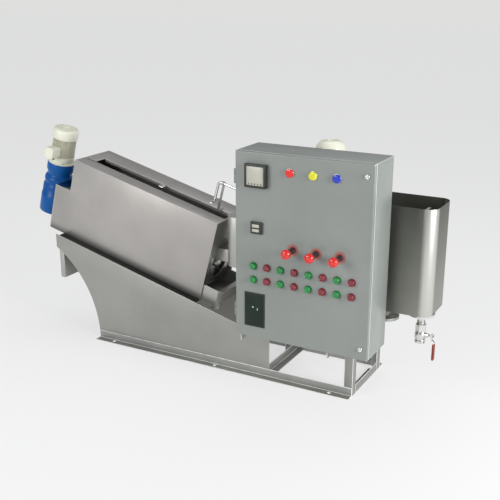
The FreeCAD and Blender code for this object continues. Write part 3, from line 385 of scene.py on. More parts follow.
extras = {
    "yellowLens": paintFinish("lampYellow", {
        "dark": (0.60, 0.58, 0.008), "light": (0.76, 0.74, 0.02), **lensGloss}),
    "blueLens": paintFinish("lampBlue", {
        "dark": (0.004, 0.022, 0.38), "light": (0.008, 0.040, 0.52), **lensGloss}),
    "redCap": paintFinish("buttonRed", {
        "dark": (0.17, 0.012, 0.022), "light": (0.25, 0.02, 0.034), **capGloss}),
    "greenRing": paintFinish("ringGreen", {
        "dark": (0.004, 0.11, 0.025), "light": (0.008, 0.18, 0.045), **ringGloss}),
    "redRing": paintFinish("ringRed", {
        "dark": (0.13, 0.010, 0.018), "light": (0.20, 0.018, 0.028), **ringGloss}),
    "paleFace": paintFinish("meterFace", {
        "dark": (0.44, 0.43, 0.36), "light": (0.52, 0.51, 0.44), "rough": (0.3, 0.42), "coat": 0.25,
        "bump": 0.03}),
    "rubber": paintFinish("sealRubber", {
        "dark": (0.011, 0.012, 0.011), "light": (0.022, 0.023, 0.021), "rough": (0.55, 0.75), "bump": 0.3}),
    "paleLight": paintFinish("indicatorPale", {
        "dark": (0.28, 0.42, 0.36), "light": (0.42, 0.56, 0.50), "rough": (0.2, 0.3), "coat": 0.3,
        "bump": 0.03}),
    "moduleGrey": paintFinish("moduleGrey", {
        "dark": (0.30, 0.31, 0.31), "light": (0.38, 0.39, 0.385), "rough": (0.38, 0.5), "bump": 0.1}),
    "ductGrey": paintFinish("ductGrey", {
        "dark": (0.20, 0.22, 0.23), "light": (0.26, 0.28, 0.29), "rough": (0.42, 0.56), "bump": 0.1}),
    "beigeFins": paintFinish("motorBeige", {
        "dark": (0.57, 0.56, 0.45), "light": (0.68, 0.67, 0.55), "rough": (0.36, 0.5), "coat": 0.1,
        "grain": (300, 300, 300), "bump": 0.15, "grime": 0.3, "grimeTone": 0.65}),
    # the upper end plate's ledge under the gear housing: polished steel, its gloss a real reflection and its
    # dark tone painted shade
    "ledgeSteel": metalFinish("ledgeSteel", {
        "metal": 1.0, "dark": (0.23, 0.24, 0.25), "light": (0.29, 0.30, 0.31), "turn": sheetTurn,
        "rough": (0.08, 0.16), "bump": 0.03, "grime": 0.1}),
}


doorFace = -370
doorBack = -351
stops = {"across": (485, 587, 689), "rise": 696, "sides": ("left", "middle", "right"),
         # the red heads' painted reflection on the door: its reach, strength and tone
         "halo": (0.014, 0.0302), "haloShare": 0.9, "haloTone": (0.42, 0.035, 0.022, 1.0)}


def paintedReflectionFinish():
    # painted reflection of the red heads: the door reddened round each collar, fading to the door's own colour
    material = finishes["cabinet_paint"].copy()
    material.name = "haloRed"
    tree = material.node_tree
    target = tree.nodes["Principled BSDF"].inputs["Base Color"]
    doorColour = target.links[0].from_socket
    coords = addNode(tree, "ShaderNodeTexCoord").outputs["Object"]
    nearest = None
    for x in stops["across"]:
        away = awayFrom(tree, coords, Vector((x, doorFace, stops["rise"])) * mm)
        if nearest is None:
            nearest = away
            continue
        least = addNode(tree, "ShaderNodeMath", operation="MINIMUM")
        tree.links.new(nearest, least.inputs[0])
        tree.links.new(away, least.inputs[1])
        nearest = least.outputs[0]
    fade = ranged(tree, nearest, *stops["halo"], stops["haloShare"], 0.0)
    tree.links.new(blended(tree, fade, doorColour, stops["haloTone"]), target)
    return material


extras["haloRed"] = paintedReflectionFinish()
print("finishes made")


smoothBelow = 35  # degrees: flatter edges than this are shaded smooth
roundWork = 50  # the same for turned pieces with soft steps


def finish(piece, body, slotName, material=None, replaced=(), smooth=smoothBelow):
    activate(piece)
    bpy.ops.object.shade_smooth_by_angle(angle=math.radians(smooth))
    piece.data.materials.clear()
    piece.data.materials.append(extras[material] if material else finishes[slotName])
    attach(piece, body)
    if replaced:
        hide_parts(*replaced)
    return piece


# Sheet and bar work: the imported solids with merged faces and rounded edges, the edges of the frame, cheek,
# cover and cabinet finishes painted lighter as a painted highlight

slotOf = {entry["node"]: entry["material_slot"] for entry in frame["record"]["subparts"]}
bodies = frame["record"]["behaviour"]["bodies"]
bodyOf = {node: body for body, members in bodies.items() for node in members}
edgeWidth = {
    "frame_steel": 1.9, "cheek_steel": 1.2, "cover_steel": 1.4, "stainless": 0.8, "tank_steel": 0.8,
    "drum_steel": 0.6, "cabinet_paint": 2.8, "bright_pipe": 0.8, "zinc_plate": 0.4}
# lighter finishes for the rounded edges: painted highlights
paintedEdgeHighlights = {
    "frame_steel": metalFinish("frameEdge", {
        "metal": 0.3, "dark": (0.80, 0.80, 0.76), "light": (0.90, 0.90, 0.86), **edgeGloss}),
    "cover_steel": metalFinish("coverEdge", {
        "metal": 0.5, "dark": (0.60, 0.59, 0.56), "light": (0.68, 0.67, 0.63), **edgeGloss}),
    "cheek_steel": metalFinish("cheekEdge", {
        "metal": 0.5, "dark": (0.58, 0.57, 0.54), "light": (0.66, 0.65, 0.61), **edgeGloss}),
    "cabinet_paint": paintFinish("cabinetEdge", {
        "dark": (0.68, 0.72, 0.69), "light": (0.78, 0.82, 0.79), "rough": (0.22, 0.32), "coat": 0.2}),
}
solidMesh = {"merge": 0.00001, "flat": math.radians(0.6)}
lookOf = {"cabinet_hinges": "cabinet_paint", "door_hinges": "cabinet_paint"}
slopeUp = slopeMatrix.to_3x3() @ Vector((0, 0, 1))


def onLedge(face):
    return face.normal.dot(slopeUp) > 0.98 and face.area > 0.01


# the ledge's faces get the darker finish, painted shade under the gear housing
accents = {"upper_end_plate": ("ledgeSteel", onLedge)}


def dress(node):
    slotName = slotOf[node]
    words = node.split("_")
    name = words[0] + "".join(word.capitalize() for word in words[1:])
    piece = bpy.data.objects.new(name, frame["nodes"][node].data.copy())
    bpy.context.scene.collection.objects.link(piece)
    activate(piece)
    bpy.ops.object.mode_set(mode="EDIT")
    bpy.ops.mesh.select_all(action="SELECT")
    bpy.ops.mesh.remove_doubles(threshold=solidMesh["merge"])
    bpy.ops.mesh.dissolve_limited(angle_limit=solidMesh["flat"])
    bpy.ops.object.mode_set(mode="OBJECT")
    piece.data.materials.clear()
    piece.data.materials.append(finishes[lookOf.get(node, slotName)])
    # the bevel's faces get the lighter finish, a painted highlight
    bright = slotName in paintedEdgeHighlights
    if bright:
        piece.data.materials.append(paintedEdgeHighlights[slotName])
    roundEdges(piece, edgeWidth[slotName], clamp=slotName != "frame_steel",
               edgeMaterial=1 if bright else -1)
    if node in accents:
        accent, test = accents[node]
        piece.data.materials.append(extras[accent])
        for face in piece.data.polygons:
            if test(face):
                face.material_index = len(piece.data.materials) - 1
    bpy.ops.object.shade_smooth_by_angle(angle=math.radians(smoothBelow))
    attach(piece, bodyOf[node])
    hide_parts(node)


modelled = ["gearbox", "drive_motor", "fan_cowl", "terminal_box", "agitator_gearbox", "agitator_motor",
            "panel_meter", "panel_gauge", "pilot_lamps", "push_buttons", "stop_collars", "stop_head_left",
            "stop_head_middle", "stop_head_right", "window_plate", "door_locks", "drum_rings", "screw",
            "rinse_pipe", "lever_grip", "drain_valve"]
for node in slotOf:
    if node not in modelled:
        dress(node)
print("sheet and bar work dressed")


# Small fixings: one hexagon screw on its washer, copied wherever one sits

def hexScrew(size):
    head = turned("head", [(size * 0.84, 0.3), (size * 0.92, 1.0), (size * 0.92, size * 0.5),
                           (size * 0.8, size * 0.62)], sides=6)
    rim = size * 1.05
    washer = turned("washer", [(rim, 0), (rim, size * 0.14), (size * 0.85, size * 0.2)], sides=20)
    return joined("screw", [head, washer])


def ringOf(count, radius, centre, turn=asMade, start=0.0):
    # places round a circle in the plane across the turned z axis
    frameTurn = Euler(turn).to_matrix()
    spots = []
    for i in range(count):
        angle = math.tau * i / count + start
        spot = Vector((radius * math.cos(angle), radius * math.sin(angle), 0))
        spots.append((Vector(centre) + frameTurn @ spot, turn))
    return spots


def roundAxis(count):
    return [(asMade, (0, 0, math.tau * i / count)) for i in range(count)]


# Geared motors: the press's drive on the slope and the upright agitator

chamfer = 1.5
finRoot = 4  # how far the fins start inside the motor's body


def motorPieces(name, look, sloped, replaced):
    # levels: the flange's foot and top, where the fins start and end, and the cowl's top
    where = {"place": (look["along"], 0, 0), "sloped": sloped}
    low, mid, start, high, top = look["levels"]
    wide, shield, body = look["flange"], look["shield"], look["body"]
    rim = [(wide - chamfer, low), (wide, low + chamfer), (wide, mid - chamfer), (wide - chamfer, mid),
           (shield + chamfer, mid + 1), (shield, mid + 3), (shield, start - chamfer),
           (shield - chamfer, start), (body - finRoot, start)]
    finish(turned(name + "Flange", rim, 64, **where), "press", "motor_cream", replaced=replaced[:1])
    barrel = turned("barrel", [(body - 2, start - 2), (body - 2, high + 2)], 64)
    finTip = body + look["finReach"]
    fin = block("fin", (body - finRoot, -0.9, start + 2), (finTip, 0.9, high - 3), rounding=0.5, segments=1)
    fins = spread("fins", fin, roundAxis(look["fins"]))
    finish(settle(joined(name + "Body", [barrel, fins]), **where),
           "press", "motor_cream", "beigeFins", replaced[:1])
    finish(turned(name + "Cowl", look["cowl"], 64, **where),
           "press", "motor_cream", replaced=replaced[-1:], smooth=roundWork)
    inner, outer = look["guard"]
    rib = block("rib", (inner, -1.4, top - 3.5), (outer, 1.4, top - 0.3))
    guard = spread(name + "Guard", rib, roundAxis(look["ribs"]))
    finish(settle(guard, **where), "press", "motor_cream")
    studs = ringOf(4, wide - 9, (look["along"], 0, mid), start=math.pi / 4)
    finish(spread(name + "Studs", hexScrew(6), studs, sloped), "press", "zinc_plate")


driveMotor = {
    "along": -535, "levels": (729, 736, 766, 866, 911), "flange": 69, "shield": 61, "body": 54,
    "finReach": 4.5, "fins": 44, "guard": (16, 48), "ribs": 12,
    "cowl": [(57, 860), (61.8, 860), (63, 861.5), (63, 899), (62, 904), (59.5, 907.6), (55.5, 910), (50, 911),
             (49, 911), (49, 908), (41, 908), (41, 911), (34, 911), (34, 908), (26, 908), (26, 911),
             (16, 911), (15.5, 909), (6, 909)]}
motorPieces("driveMotor", driveMotor, True, ["drive_motor", "fan_cowl"])
agitatorMotor = {
    "along": 479, "levels": (868, 880, 892, 1026, 1083), "flange": 77, "shield": 63, "body": 56,
    "finReach": 5.0, "fins": 40, "guard": (14, 33), "ribs": 12,
    "cowl": [(57, 1022), (63, 1022), (64.5, 1024), (65, 1046), (63.5, 1056), (59.5, 1064), (53, 1072),
             (45, 1078.5), (36, 1082.5), (33, 1083), (33, 1080), (26, 1080), (26, 1083), (15, 1083),
             (14, 1080), (5, 1080)]}
motorPieces("agitatorMotor", agitatorMotor, False, ["agitator_motor"])

gear = {
    "axis": -535, "arm": -527, "rise": 585, "bolts": -460.6, "boltRing": 66.5, "plugOut": 77.6,
    "housingShape": [
        (71, 458), (76, 459.5), (78, 463), (78, 549), (77, 552), (75, 554), (75, 600), (73.5, 607),
        (69, 612.5), (67.5, 616), (68.5, 620), (71.5, 627), (72.8, 634), (73, 640), (71.8, 647),
        (68.5, 654), (64.5, 659), (62, 663), (61.5, 668), (62.5, 674), (65.5, 681), (68, 687),
        (69.5, 692), (69.5, 727), (68.5, 729)],
    "armShape": [
        (50, -20), (58, -10), (60, 0), (60, 56), (61.5, 61), (66, 65), (71, 66.5), (72, 67.5), (72, 79),
        (71, 80)]}
axis = gear["axis"]
finish(turned("gearHousing", gear["housingShape"], 72, (axis, 0, 0), sloped=True),
       "press", "gear_blue", replaced=["gearbox"], smooth=roundWork)
finish(turned("gearArm", gear["armShape"], 64, (gear["arm"], 0, gear["rise"]), toRight, True),
       "press", "gear_blue", replaced=["gearbox"], smooth=roundWork)
bolts = ringOf(8, gear["boltRing"], (gear["bolts"], 0, gear["rise"]), toLeft, 0.4)
finish(spread("gearBolts", hexScrew(8), bolts, True), "press", "zinc_plate")
plugs = [((axis - gear["plugOut"], 0, 476), toLeft), ((axis, gear["plugOut"], 536), toBack)]
finish(spread("gearPlugs", hexScrew(8), plugs, True), "press", "zinc_plate")

agitator = {
    "along": agitatorMotor["along"], "boltRing": 64.2, "bolts": 729.6,
    "box": ((421, -118, 930), (479, -58, 988)), "border": 4, "lid": 1.2,
    "gearShape": [
        (68, 718), (70, 720), (70, 728), (68.5, 730), (61, 730), (58.5, 732), (58, 736), (58, 852),
        (59, 858), (64, 862), (68, 863), (69, 864.5), (69, 868)]}
finish(turned("agitatorGear", agitator["gearShape"], 64, (agitator["along"], 0, 0)),
       "press", slotOf["agitator_gearbox"], replaced=["agitator_gearbox"], smooth=roundWork)
bolts = ringOf(6, agitator["boltRing"], (agitator["along"], 0, agitator["bolts"]))
finish(spread("agitatorBolts", hexScrew(6), bolts), "press", "zinc_plate")
box = block("agitatorBox", *agitator["box"], rounding=4, segments=3)
finish(recess(box, facingFront, agitator["border"], -agitator["lid"]), "press", "motor_cream")

terminals = {
    "tray": ((-559, -105, 771), (-511, -50, 821)), "lid": ((-562, -116, 768), (-508, -107, 824)),
    "border": 7, "raised": 1.0, "screws": (-116.2, (-557.5, -512.5), (772.5, 819.5)),
    "screwShape": [(2.6, -1), (2.6, 0.3), (1.6, 0.3), (1.4, -0.4)],
    "glands": ((-547, -88, 771), (-523, -88, 771)),
    "glandShape": [(8, 0), (8, 4), (6.6, 4.5), (6.6, 9), (5, 10.5), (3.4, 10.5), (3.2, 9)]}
tray = block("terminalBox", *terminals["tray"], rounding=3, segments=3, sloped=True)
finish(tray, "press", "motor_cream", replaced=["terminal_box"])
lid = block("terminalLid", *terminals["lid"], rounding=2.5, segments=3)
recess(lid, facingFront, terminals["border"], -terminals["raised"])
finish(settle(lid, sloped=True), "press", "motor_cream", replaced=["terminal_box"])
front, across, rises = terminals["screws"]
corners = [((x, front, z), toFront) for x in across for z in rises]
finish(spread("terminalScrews", turned("cap", terminals["screwShape"], 16), corners, True),
       "press", "zinc_plate")
finish(spread("terminalGlands", turned("gland", terminals["glandShape"], 24),
              [(spot, toFloor) for spot in terminals["glands"]], True), "press", "collar_black")
print("motors and gearboxes made")


# Drum: grooved rings, and the screw's flight swept round its shaft

drum = {"rise": 585, "first": -324, "rings": 12, "pitch": 65.33, "gap": 12, "outer": 85, "inner": 72,
        "plates": 7, "groove": 4, "plateShare": 0.7, "sides": 56}
plate = (drum["pitch"] - drum["gap"]) / drum["plates"]
outer, inner, share = drum["outer"], drum["inner"], drum["plateShare"]
profile = [(inner, 0)]
for i in range(drum["plates"]):
    profile += [(outer, i * plate), (outer, (i + share) * plate)]
    if i < drum["plates"] - 1:
        profile += [(outer - drum["groove"], (i + share) * plate), (outer - drum["groove"], (i + 1) * plate)]
profile += [(inner, profile[-1][1]), profile[0]]
spots = [((drum["first"] + i * drum["pitch"], 0, drum["rise"]), toRight) for i in range(drum["rings"])]
finish(spread("drumRings", turned("drumRing", profile, drum["sides"]), spots, True),
       "press", "drum_steel", replaced=["drum_rings"])

flight = {"start": -330, "length": 780, "turns": 5, "root": 22, "tip": 71, "wall": 4, "steps": 40}
blade = block("screwFlight", (flight["root"], -0.5, 0), (flight["tip"], 0.5, flight["wall"]), rounding=0)
activate(blade)
bpy.ops.object.mode_set(mode="EDIT")
bpy.ops.mesh.select_mode(type="FACE")
bpy.ops.mesh.select_all(action="DESELECT")
bpy.ops.object.mode_set(mode="OBJECT")
for face in blade.data.polygons:
    face.select = face.normal.dot(Vector(facingFront)) < 0.9
bpy.ops.object.mode_set(mode="EDIT")
bpy.ops.mesh.delete(type="FACE")
bpy.ops.mesh.select_all(action="SELECT")
bpy.ops.mesh.delete(type="ONLY_FACE")
bpy.ops.object.mode_set(mode="OBJECT")
sweep = blade.modifiers.new("sweep", "SCREW")
sweep.axis = "Z"
sweep.iterations = flight["turns"]
sweep.screw_offset = flight["length"] / flight["turns"] * mm
sweep.steps = flight["steps"]
sweep.render_steps = flight["steps"]
sweep.use_smooth_shade = False
bpy.ops.object.modifier_apply(modifier="sweep")
bpy.ops.object.mode_set(mode="EDIT")
bpy.ops.mesh.select_all(action="SELECT")
bpy.ops.mesh.fill_holes(sides=6)
bpy.ops.mesh.normals_make_consistent(inside=False)
bpy.ops.object.mode_set(mode="OBJECT")
settle(blade, (flight["start"], 0, drum["rise"]), toRight, True)
finish(blade, "press", "drum_steel", replaced=["screw"], smooth=roundWork)
shaft = [(22, -447), (24, -445), (24, 462), (21, 466.5), (15, 468)]
finish(turned("screwShaft", shaft, 48, (0, 0, drum["rise"]), toRight, True),
       "press", "drum_steel", replaced=["screw"])
print("drum and screw made")


# Rinse pipe: drawn along its run, spun round its two bends, open at both ends

pipe = {"tip": (376, -44, 875), "radius": 6.5, "bore": 5, "depth": 8, "bend": 18, "bendSteps": 8,
        "reach": 16, "rise": 64, "run": 354, "sides": 28}


def narrow(share, centre):
    bpy.ops.transform.resize(value=(share, share, share), center_override=tuple(Vector(centre) * mm))


tipX, tipY, tipZ = pipe["tip"]
bend = pipe["bend"]
deselect()
bpy.ops.mesh.primitive_circle_add(vertices=pipe["sides"], radius=pipe["bore"] * mm, fill_type="NGON",
                                  location=Vector((tipX, tipY + pipe["depth"], tipZ)) * mm,
                                  rotation=toFront)
tube = bpy.context.object
tube.name = "rinsePipe"
bpy.ops.object.transform_apply(location=True, rotation=True)
bpy.ops.object.mode_set(mode="EDIT")
bpy.ops.mesh.select_all(action="SELECT")
drawOn((0, -pipe["depth"], 0))
narrow(pipe["radius"] / pipe["bore"], (tipX, tipY, tipZ))
drawOn((0, pipe["reach"], 0))
knee = Vector((tipX, tipY + pipe["reach"], tipZ + bend))
bpy.ops.mesh.spin(steps=pipe["bendSteps"], angle=-quarter, center=knee * mm, axis=(1, 0, 0))
drawOn((0, 0, pipe["rise"]))
knee += Vector((bend, bend, pipe["rise"]))
bpy.ops.mesh.spin(steps=pipe["bendSteps"], angle=-quarter, center=knee * mm, axis=(0, 1, 0))
drawOn((pipe["run"], 0, 0))
narrow(pipe["bore"] / pipe["radius"], knee + Vector((pipe["run"], 0, bend)))
drawOn((-pipe["depth"] * 3, 0, 0))
closeUp()
tube.data.transform(slopeMatrix)
finish(tube, "press", "bright_pipe", replaced=["rinse_pipe"], smooth=roundWork)

# Dark rubber strips on the cheek ledges under the covers, put there as painted shade of the gap, and the clip
# across the slot
coverShadeStrips = {"ends": (-350, 480), "rise": (432.1, 434.6), "sealFront": (-169, -136),
              "sealRear": (136, 169)}
# the dark strips are painted shade along the gap under the covers
for name in ("sealFront", "sealRear"):
    low, high = zip(coverShadeStrips["ends"], coverShadeStrips[name], coverShadeStrips["rise"])
    finish(block(name, low, high, rounding=1.0, segments=3, sloped=True), "press", "collar_black", "rubber")
clip = {"strap": ((66, -22, 833.1), (92, 27, 835.6)),
        "screws": (((79, -14, 835.6), asMade), ((79, 20, 835.6), (0, 0, 0.3)))}
finish(block("slotClip", *clip["strap"], rounding=0.8, sloped=True), "press", "bright_pipe")
finish(spread("clipScrews", hexScrew(6.5), clip["screws"], True), "press", "zinc_plate")
print("pipe, strips and clip made")


# Cabinet front: everything rides on the door unless its own body moves it

door = "cabinet_front"


def onDoor(across, rise, depth=doorFace, turn=toFront):
    return [((x, depth, rise), turn) for x in across]


meter = {
    "case": ((273, -392, 938), (369, doorFace, 1034)), "border": 7, "depth": 3,
    "dial": ((281.5, -389.9, 946.5), (360.5, -388.6, 1025.5)),
    "tick": ((-2.0, -0.4, -3.2), (2.0, 0.3, 3.2)), "tickFace": -390, "tickRise": 953.5,
    "tickPlaces": (294, 307.5, 321, 334.5, 348),
    "bar": ((-40.2, -0.5, -0.8), (40.2, 0.5, 0.8)), "barFace": -390.4, "middle": (321, 986), "reach": 39.2}
case = block("panelMeter", *meter["case"], rounding=1.6, segments=3)
finish(recess(case, facingFront, meter["border"], meter["depth"]),
       door, "meter_black", replaced=["panel_meter"])
finish(block("meterDial", *meter["dial"], rounding=0.5), door, "meter_black", "paleFace")
ticks = onDoor(meter["tickPlaces"], meter["tickRise"], meter["tickFace"], asMade)
finish(spread("meterTicks", block("tick", *meter["tick"], rounding=0.3), ticks), door, "meter_black")
x, z = meter["middle"]
reach = meter["reach"]
sides = [((x, meter["barFace"], z + shift), asMade) for shift in (-reach, reach)]
sides += [((x + shift, meter["barFace"], z), toRight) for shift in (-reach, reach)]
finish(spread("meterBezel", block("bar", *meter["bar"], rounding=0.3), sides), door, "meter_black")

gauge = {"case": ((297, -382, 744), (347, doorFace, 794)), "across": (303, 336), "cut": (-384, -380),
         "panes": (("gaugeUpper", 770, 784), ("gaugeLower", 752, 764)), "glass": (-381.2, -380.1), "gap": 0.3}
left, right = gauge["across"]
cutters = [block("pane", *zip(gauge["across"], gauge["cut"], (low, high)), rounding=0)
           for name, low, high in gauge["panes"]]
case = carve(block("panelGauge", *gauge["case"], rounding=0), *cutters)
finish(roundEdges(case, 0.9), door, "meter_black", replaced=["panel_gauge"])
gap = gauge["gap"]
for name, low, high in gauge["panes"]:
    corners = zip((left + gap, right - gap), gauge["glass"], (low + gap, high - gap))
    finish(block(name, *corners, rounding=0.3), door, "meter_black", "paleFace")

lamps = {
    "across": (467, 567, 667), "rise": 1010,
    "names": ("lampRed", "lampYellow", "lampBlue"), "lenses": (None, "yellowLens", "blueLens"),
    "ringShape": [(17, 0), (18.4, 0), (18.4, 1.6), (18, 2.2), (17.4, 2.3), (17, 2), (17, 0)],
    "lensShape": [(17.2, 0), (17.2, 6.6), (16.6, 8.4), (15, 9.8), (12, 10.6), (7, 10.95), (2, 11)]}
finish(spread("lampRings", turned("ring", lamps["ringShape"]), onDoor(lamps["across"], lamps["rise"])),
       door, "zinc_plate", replaced=["pilot_lamps"])
for x, name, lens in zip(lamps["across"], lamps["names"], lamps["lenses"]):
    finish(turned(name, lamps["lensShape"], 48, (x, doorFace, lamps["rise"]), toFront),
           door, "lamp_lens", lens, ["pilot_lamps"], smooth=roundWork)

buttons = {
    "across": [306 + i * 62.6 for i in range(8)], "rows": (542, 602),
    "sleeveShape": [(13.6, 0), (16.6, 0), (16.6, 4), (16, 6), (14.9, 6.8), (13.6, 6.2), (13.6, 0)],
    "capShape": [(13.3, 0), (13.3, 12.6), (12.7, 14.4), (11.6, 15.4), (10.4, 15.6), (9.2, 14.6),
                 (8.6, 12.8), (6, 12.2), (2, 12)]}
for start, sleeve, cap, name in ((0, "greenRing", None, "Green"), (1, "redRing", "redCap", "Red")):
    spots = [spot for z in buttons["rows"] for spot in onDoor(buttons["across"][start::2], z)]
    finish(spread("buttonRings" + name, turned("ring", buttons["sleeveShape"], 40), spots),
           door, "button_cap", sleeve, ["push_buttons"])
    finish(spread("buttons" + name, turned("cap", buttons["capShape"], 40), spots),
           door, "button_cap", cap, ["push_buttons"], smooth=roundWork)

collarShape = [(13.4, 0), (13.4, 1.6), (12.6, 2.4), (12.6, 6)]
for rise in [i * 4.4 for i in range(8)]:
    collarShape += [(11.9, 7 + rise), (11.9, 9 + rise), (12.6, 10 + rise), (12.6, 11 + rise)]
collarShape += [(12.6, 46), (11.8, 48), (9.2, 48), (8.8, 44), (8.8, 26)]
headShape = [(8, 17), (8, 56), (11, 57.2), (18, 57.4), (20.2, 58.6), (20.8, 61), (20.8, 65.5), (20.2, 70),
             (18.4, 74.6), (15.2, 78), (11.8, 79.6), (10.6, 79.6), (9.6, 78.2), (8.4, 78.2), (7.4, 79.8),
             (4.4, 80.9), (1.5, 81)]
paintedReflectionShape = [(31, 0), (30.6, 0.4), (2, 0.4)]
stopSpots = onDoor(stops["across"], stops["rise"])
finish(spread("stopCollars", turned("collar", collarShape), stopSpots),
       door, "collar_black", replaced=["stop_collars"])
# thin discs on the door that carry the painted red reflection
finish(spread("stopHalos", turned("halo", paintedReflectionShape, 56), stopSpots), door, "cabinet_paint", "haloRed")
for (place, turn), side in zip(stopSpots, stops["sides"]):
    finish(turned("stopHead" + side.capitalize(), headShape, 56, place, turn),
           "stop_" + side, "stop_red", replaced=["stop_head_" + side], smooth=roundWork)

window = {
    "plate": ((264, -373, 331), (359, doorFace, 483)), "border": 5, "depth": 1.2,
    "glass": ((269.4, -372.5, 336.4), (353.6, -371.7, 477.6)),
    "indicatorLeft": ((300, -372.9, 415), (308, -372.3, 422)),
    "indicatorRight": ((323, -372.9, 406), (327, -372.3, 417))}
surround = block("windowPlate", *window["plate"], rounding=0.7)
finish(recess(surround, facingFront, window["border"], window["depth"]),
       door, "window_dark", "rubber", ["window_plate"])
finish(block("windowGlass", *window["glass"], rounding=0.2), door, "window_dark")
for name in ("indicatorLeft", "indicatorRight"):
    finish(block(name, *window[name], rounding=0.3), door, "window_dark", "paleLight")

locks = {
    "across": 790, "rises": (327, 1031), "bit": ((-4.6, -5.2, -1.0), (4.6, -3.4, 1.0)), "bitTurn": (0, 0.5, 0),
    "shape": [(10, 0), (10, 4.6), (9.2, 5.8), (6.6, 6), (6.2, 3.2), (3.4, 3.2), (3.1, 5.6), (2.4, 5.8)]}
places = [(locks["across"], doorFace, z) for z in locks["rises"]]
finish(spread("doorLocks", turned("lock", locks["shape"], 36), [(place, toFront) for place in places]),
       door, "bright_pipe", replaced=["door_locks"])
finish(spread("lockBits", block("bit", *locks["bit"], rounding=0.3),
              [(place, locks["bitTurn"]) for place in places]), door, "bright_pipe")
print("cabinet front made")


# Behind the door: its seal and the backs of what it carries

doorSeal = {"across": (238, 802), "rise": (296, 1062), "depth": (doorBack, -347.6), "wide": 8}
left, right = doorSeal["across"]
foot, head = doorSeal["rise"]
wide = doorSeal["wide"]
runs = (((left, right), (foot, foot + wide)), ((left, right), (head - wide, head)),
        ((left, left + wide), (foot + wide, head - wide)),
        ((right - wide, right), (foot + wide, head - wide)))
bars = [block("bar", *zip(across, doorSeal["depth"], rise), rounding=1.4, segments=3)
        for across, rise in runs]
finish(joined("doorSeal", bars), door, "collar_black", "rubber")

contact = {
    "base": ((-14, 0, -14), (14, 9, 14)), "body": ((-11, 9, -13), (11, 34, 13)),
    "screwShape": [(2.6, 0), (2.6, 1), (1.4, 1), (1.3, 0.2)],
    "screws": [((x, 33.9, z), toBack) for x in (-5.5, 5.5) for z in (-8, 8)]}
base = block("base", *contact["base"], rounding=1.2)
body = block("body", *contact["body"], rounding=1.0)
screws = spread("screws", turned("screw", contact["screwShape"], 12), contact["screws"])
backs = []
for z in buttons["rows"]:
    backs += onDoor(buttons["across"], z, doorBack, asMade)
backs += onDoor(lamps["across"], lamps["rise"], doorBack, asMade)
backs += onDoor(stops["across"], stops["rise"], doorBack, asMade)
finish(spread("contactBlocks", joined("contact", [base, body, screws]), backs), door, "collar_black")
backCases = {
    "meterBack": {"low": (274, doorBack, 943), "high": (362, -309, 1031), "round": 1.5, "border": 6},
    "gaugeBack": {"low": (297, doorBack, 749), "high": (339, -295, 791), "round": 1.2, "border": 4}}
for name, look in backCases.items():
    case = block(name, look["low"], look["high"], rounding=look["round"])
    finish(recess(case, facingBack, look["border"], look["round"]), door, "meter_black")

# Inside the shell: slotted ducts, rails and rows of devices on the mounting plate
plateFace = -187
ducts = {"upright": (268, 742), "uprightRise": (333, 1025), "wide": 30,
         "level": (333, 520, 706, 893, 1001), "levelAcross": (299, 741), "half": 12, "depth": 52,
         "pitch": 12, "finger": 7, "wall": 1.6, "trough": 8, "lid": 4}


def duct(low, high, along):
    # a slotted channel: its trough, its lid and a comb of fingers along each edge
    across = 2 - along
    parts = [block("trough", low, (high[0], low[1] + ducts["trough"], high[2])),
             block("lid", (low[0], high[1] - ducts["lid"], low[2]), high, rounding=1.0)]
    count = int((high[along] - low[along]) / ducts["pitch"])
    steps = []
    for i in range(count):
        step = [0, 0, 0]
        step[along] = (high[along] - low[along]) / count * i
        steps.append((step, asMade))
    for edge in (low[across], high[across] - ducts["wall"]):
        start, end = [0, low[1] + 6, 0], [0, high[1] - 3, 0]
        start[across], end[across] = edge, edge + ducts["wall"]
        start[along], end[along] = low[along] + 2, low[along] + 2 + ducts["finger"]
        parts.append(spread("fingers", block("finger", start, end, rounding=0), steps))
    return joined("duct", parts)


front = plateFace - ducts["depth"]
foot, head = ducts["uprightRise"]
channels = [duct((x, front, foot), (x + ducts["wide"], plateFace, head), 2) for x in ducts["upright"]]
left, right = ducts["levelAcross"]
channels += [duct((left, front, z - ducts["half"]), (right, plateFace, z + ducts["half"]), 0)
             for z in ducts["level"]]
finish(joined("wiringDucts", channels), "press", "cabinet_paint", "ductGrey")

rail = {"across": (302, 738), "rises": (427, 613, 800, 950), "depth": 8, "half": 17.5, "border": 5,
        "groove": 5}
railFace = plateFace - rail["depth"]
rails = []
for z in rail["rises"]:
    corners = zip(rail["across"], (railFace, plateFace), (z - rail["half"], z + rail["half"]))
    rails.append(recess(block("rail", *corners, rounding=0.5), facingFront, rail["border"], rail["groove"]))
finish(joined("deviceRails", rails), "press", "zinc_plate")

deviceShares = {"step": 0.72, "noseRoot": 0.7, "nose": 0.26, "toggle": 0.22, "screws": 0.38}


def device(width, height, depth):
    # a moulded body on its rail with a stepped nose, a toggle and two terminal screws
    side = width / 2 - 0.4
    face = -depth * deviceShares["step"]
    body = block("body", (-side, face, -height / 2), (side, 0, height / 2), rounding=1.2)
    recess(body, facingFront, 2, 0.8)
    rise = height * deviceShares["nose"]
    root = -depth * deviceShares["noseRoot"]
    nose = block("nose", (-side, -depth, -rise), (side, root, rise), rounding=1.2)
    side = width * deviceShares["toggle"]
    toggle = block("toggle", (-side, -depth - 5, -3), (side, -depth + 1, 5), rounding=1)
    rise = height * deviceShares["screws"]
    screws = spread("screws", turned("screw", [(3, 0), (3, 0.8), (1.6, 0.8), (1.5, 0)], 12),
                    [((0, face, z), toFront) for z in (-rise, rise)])
    return joined("device", [body, nose, toggle, screws])


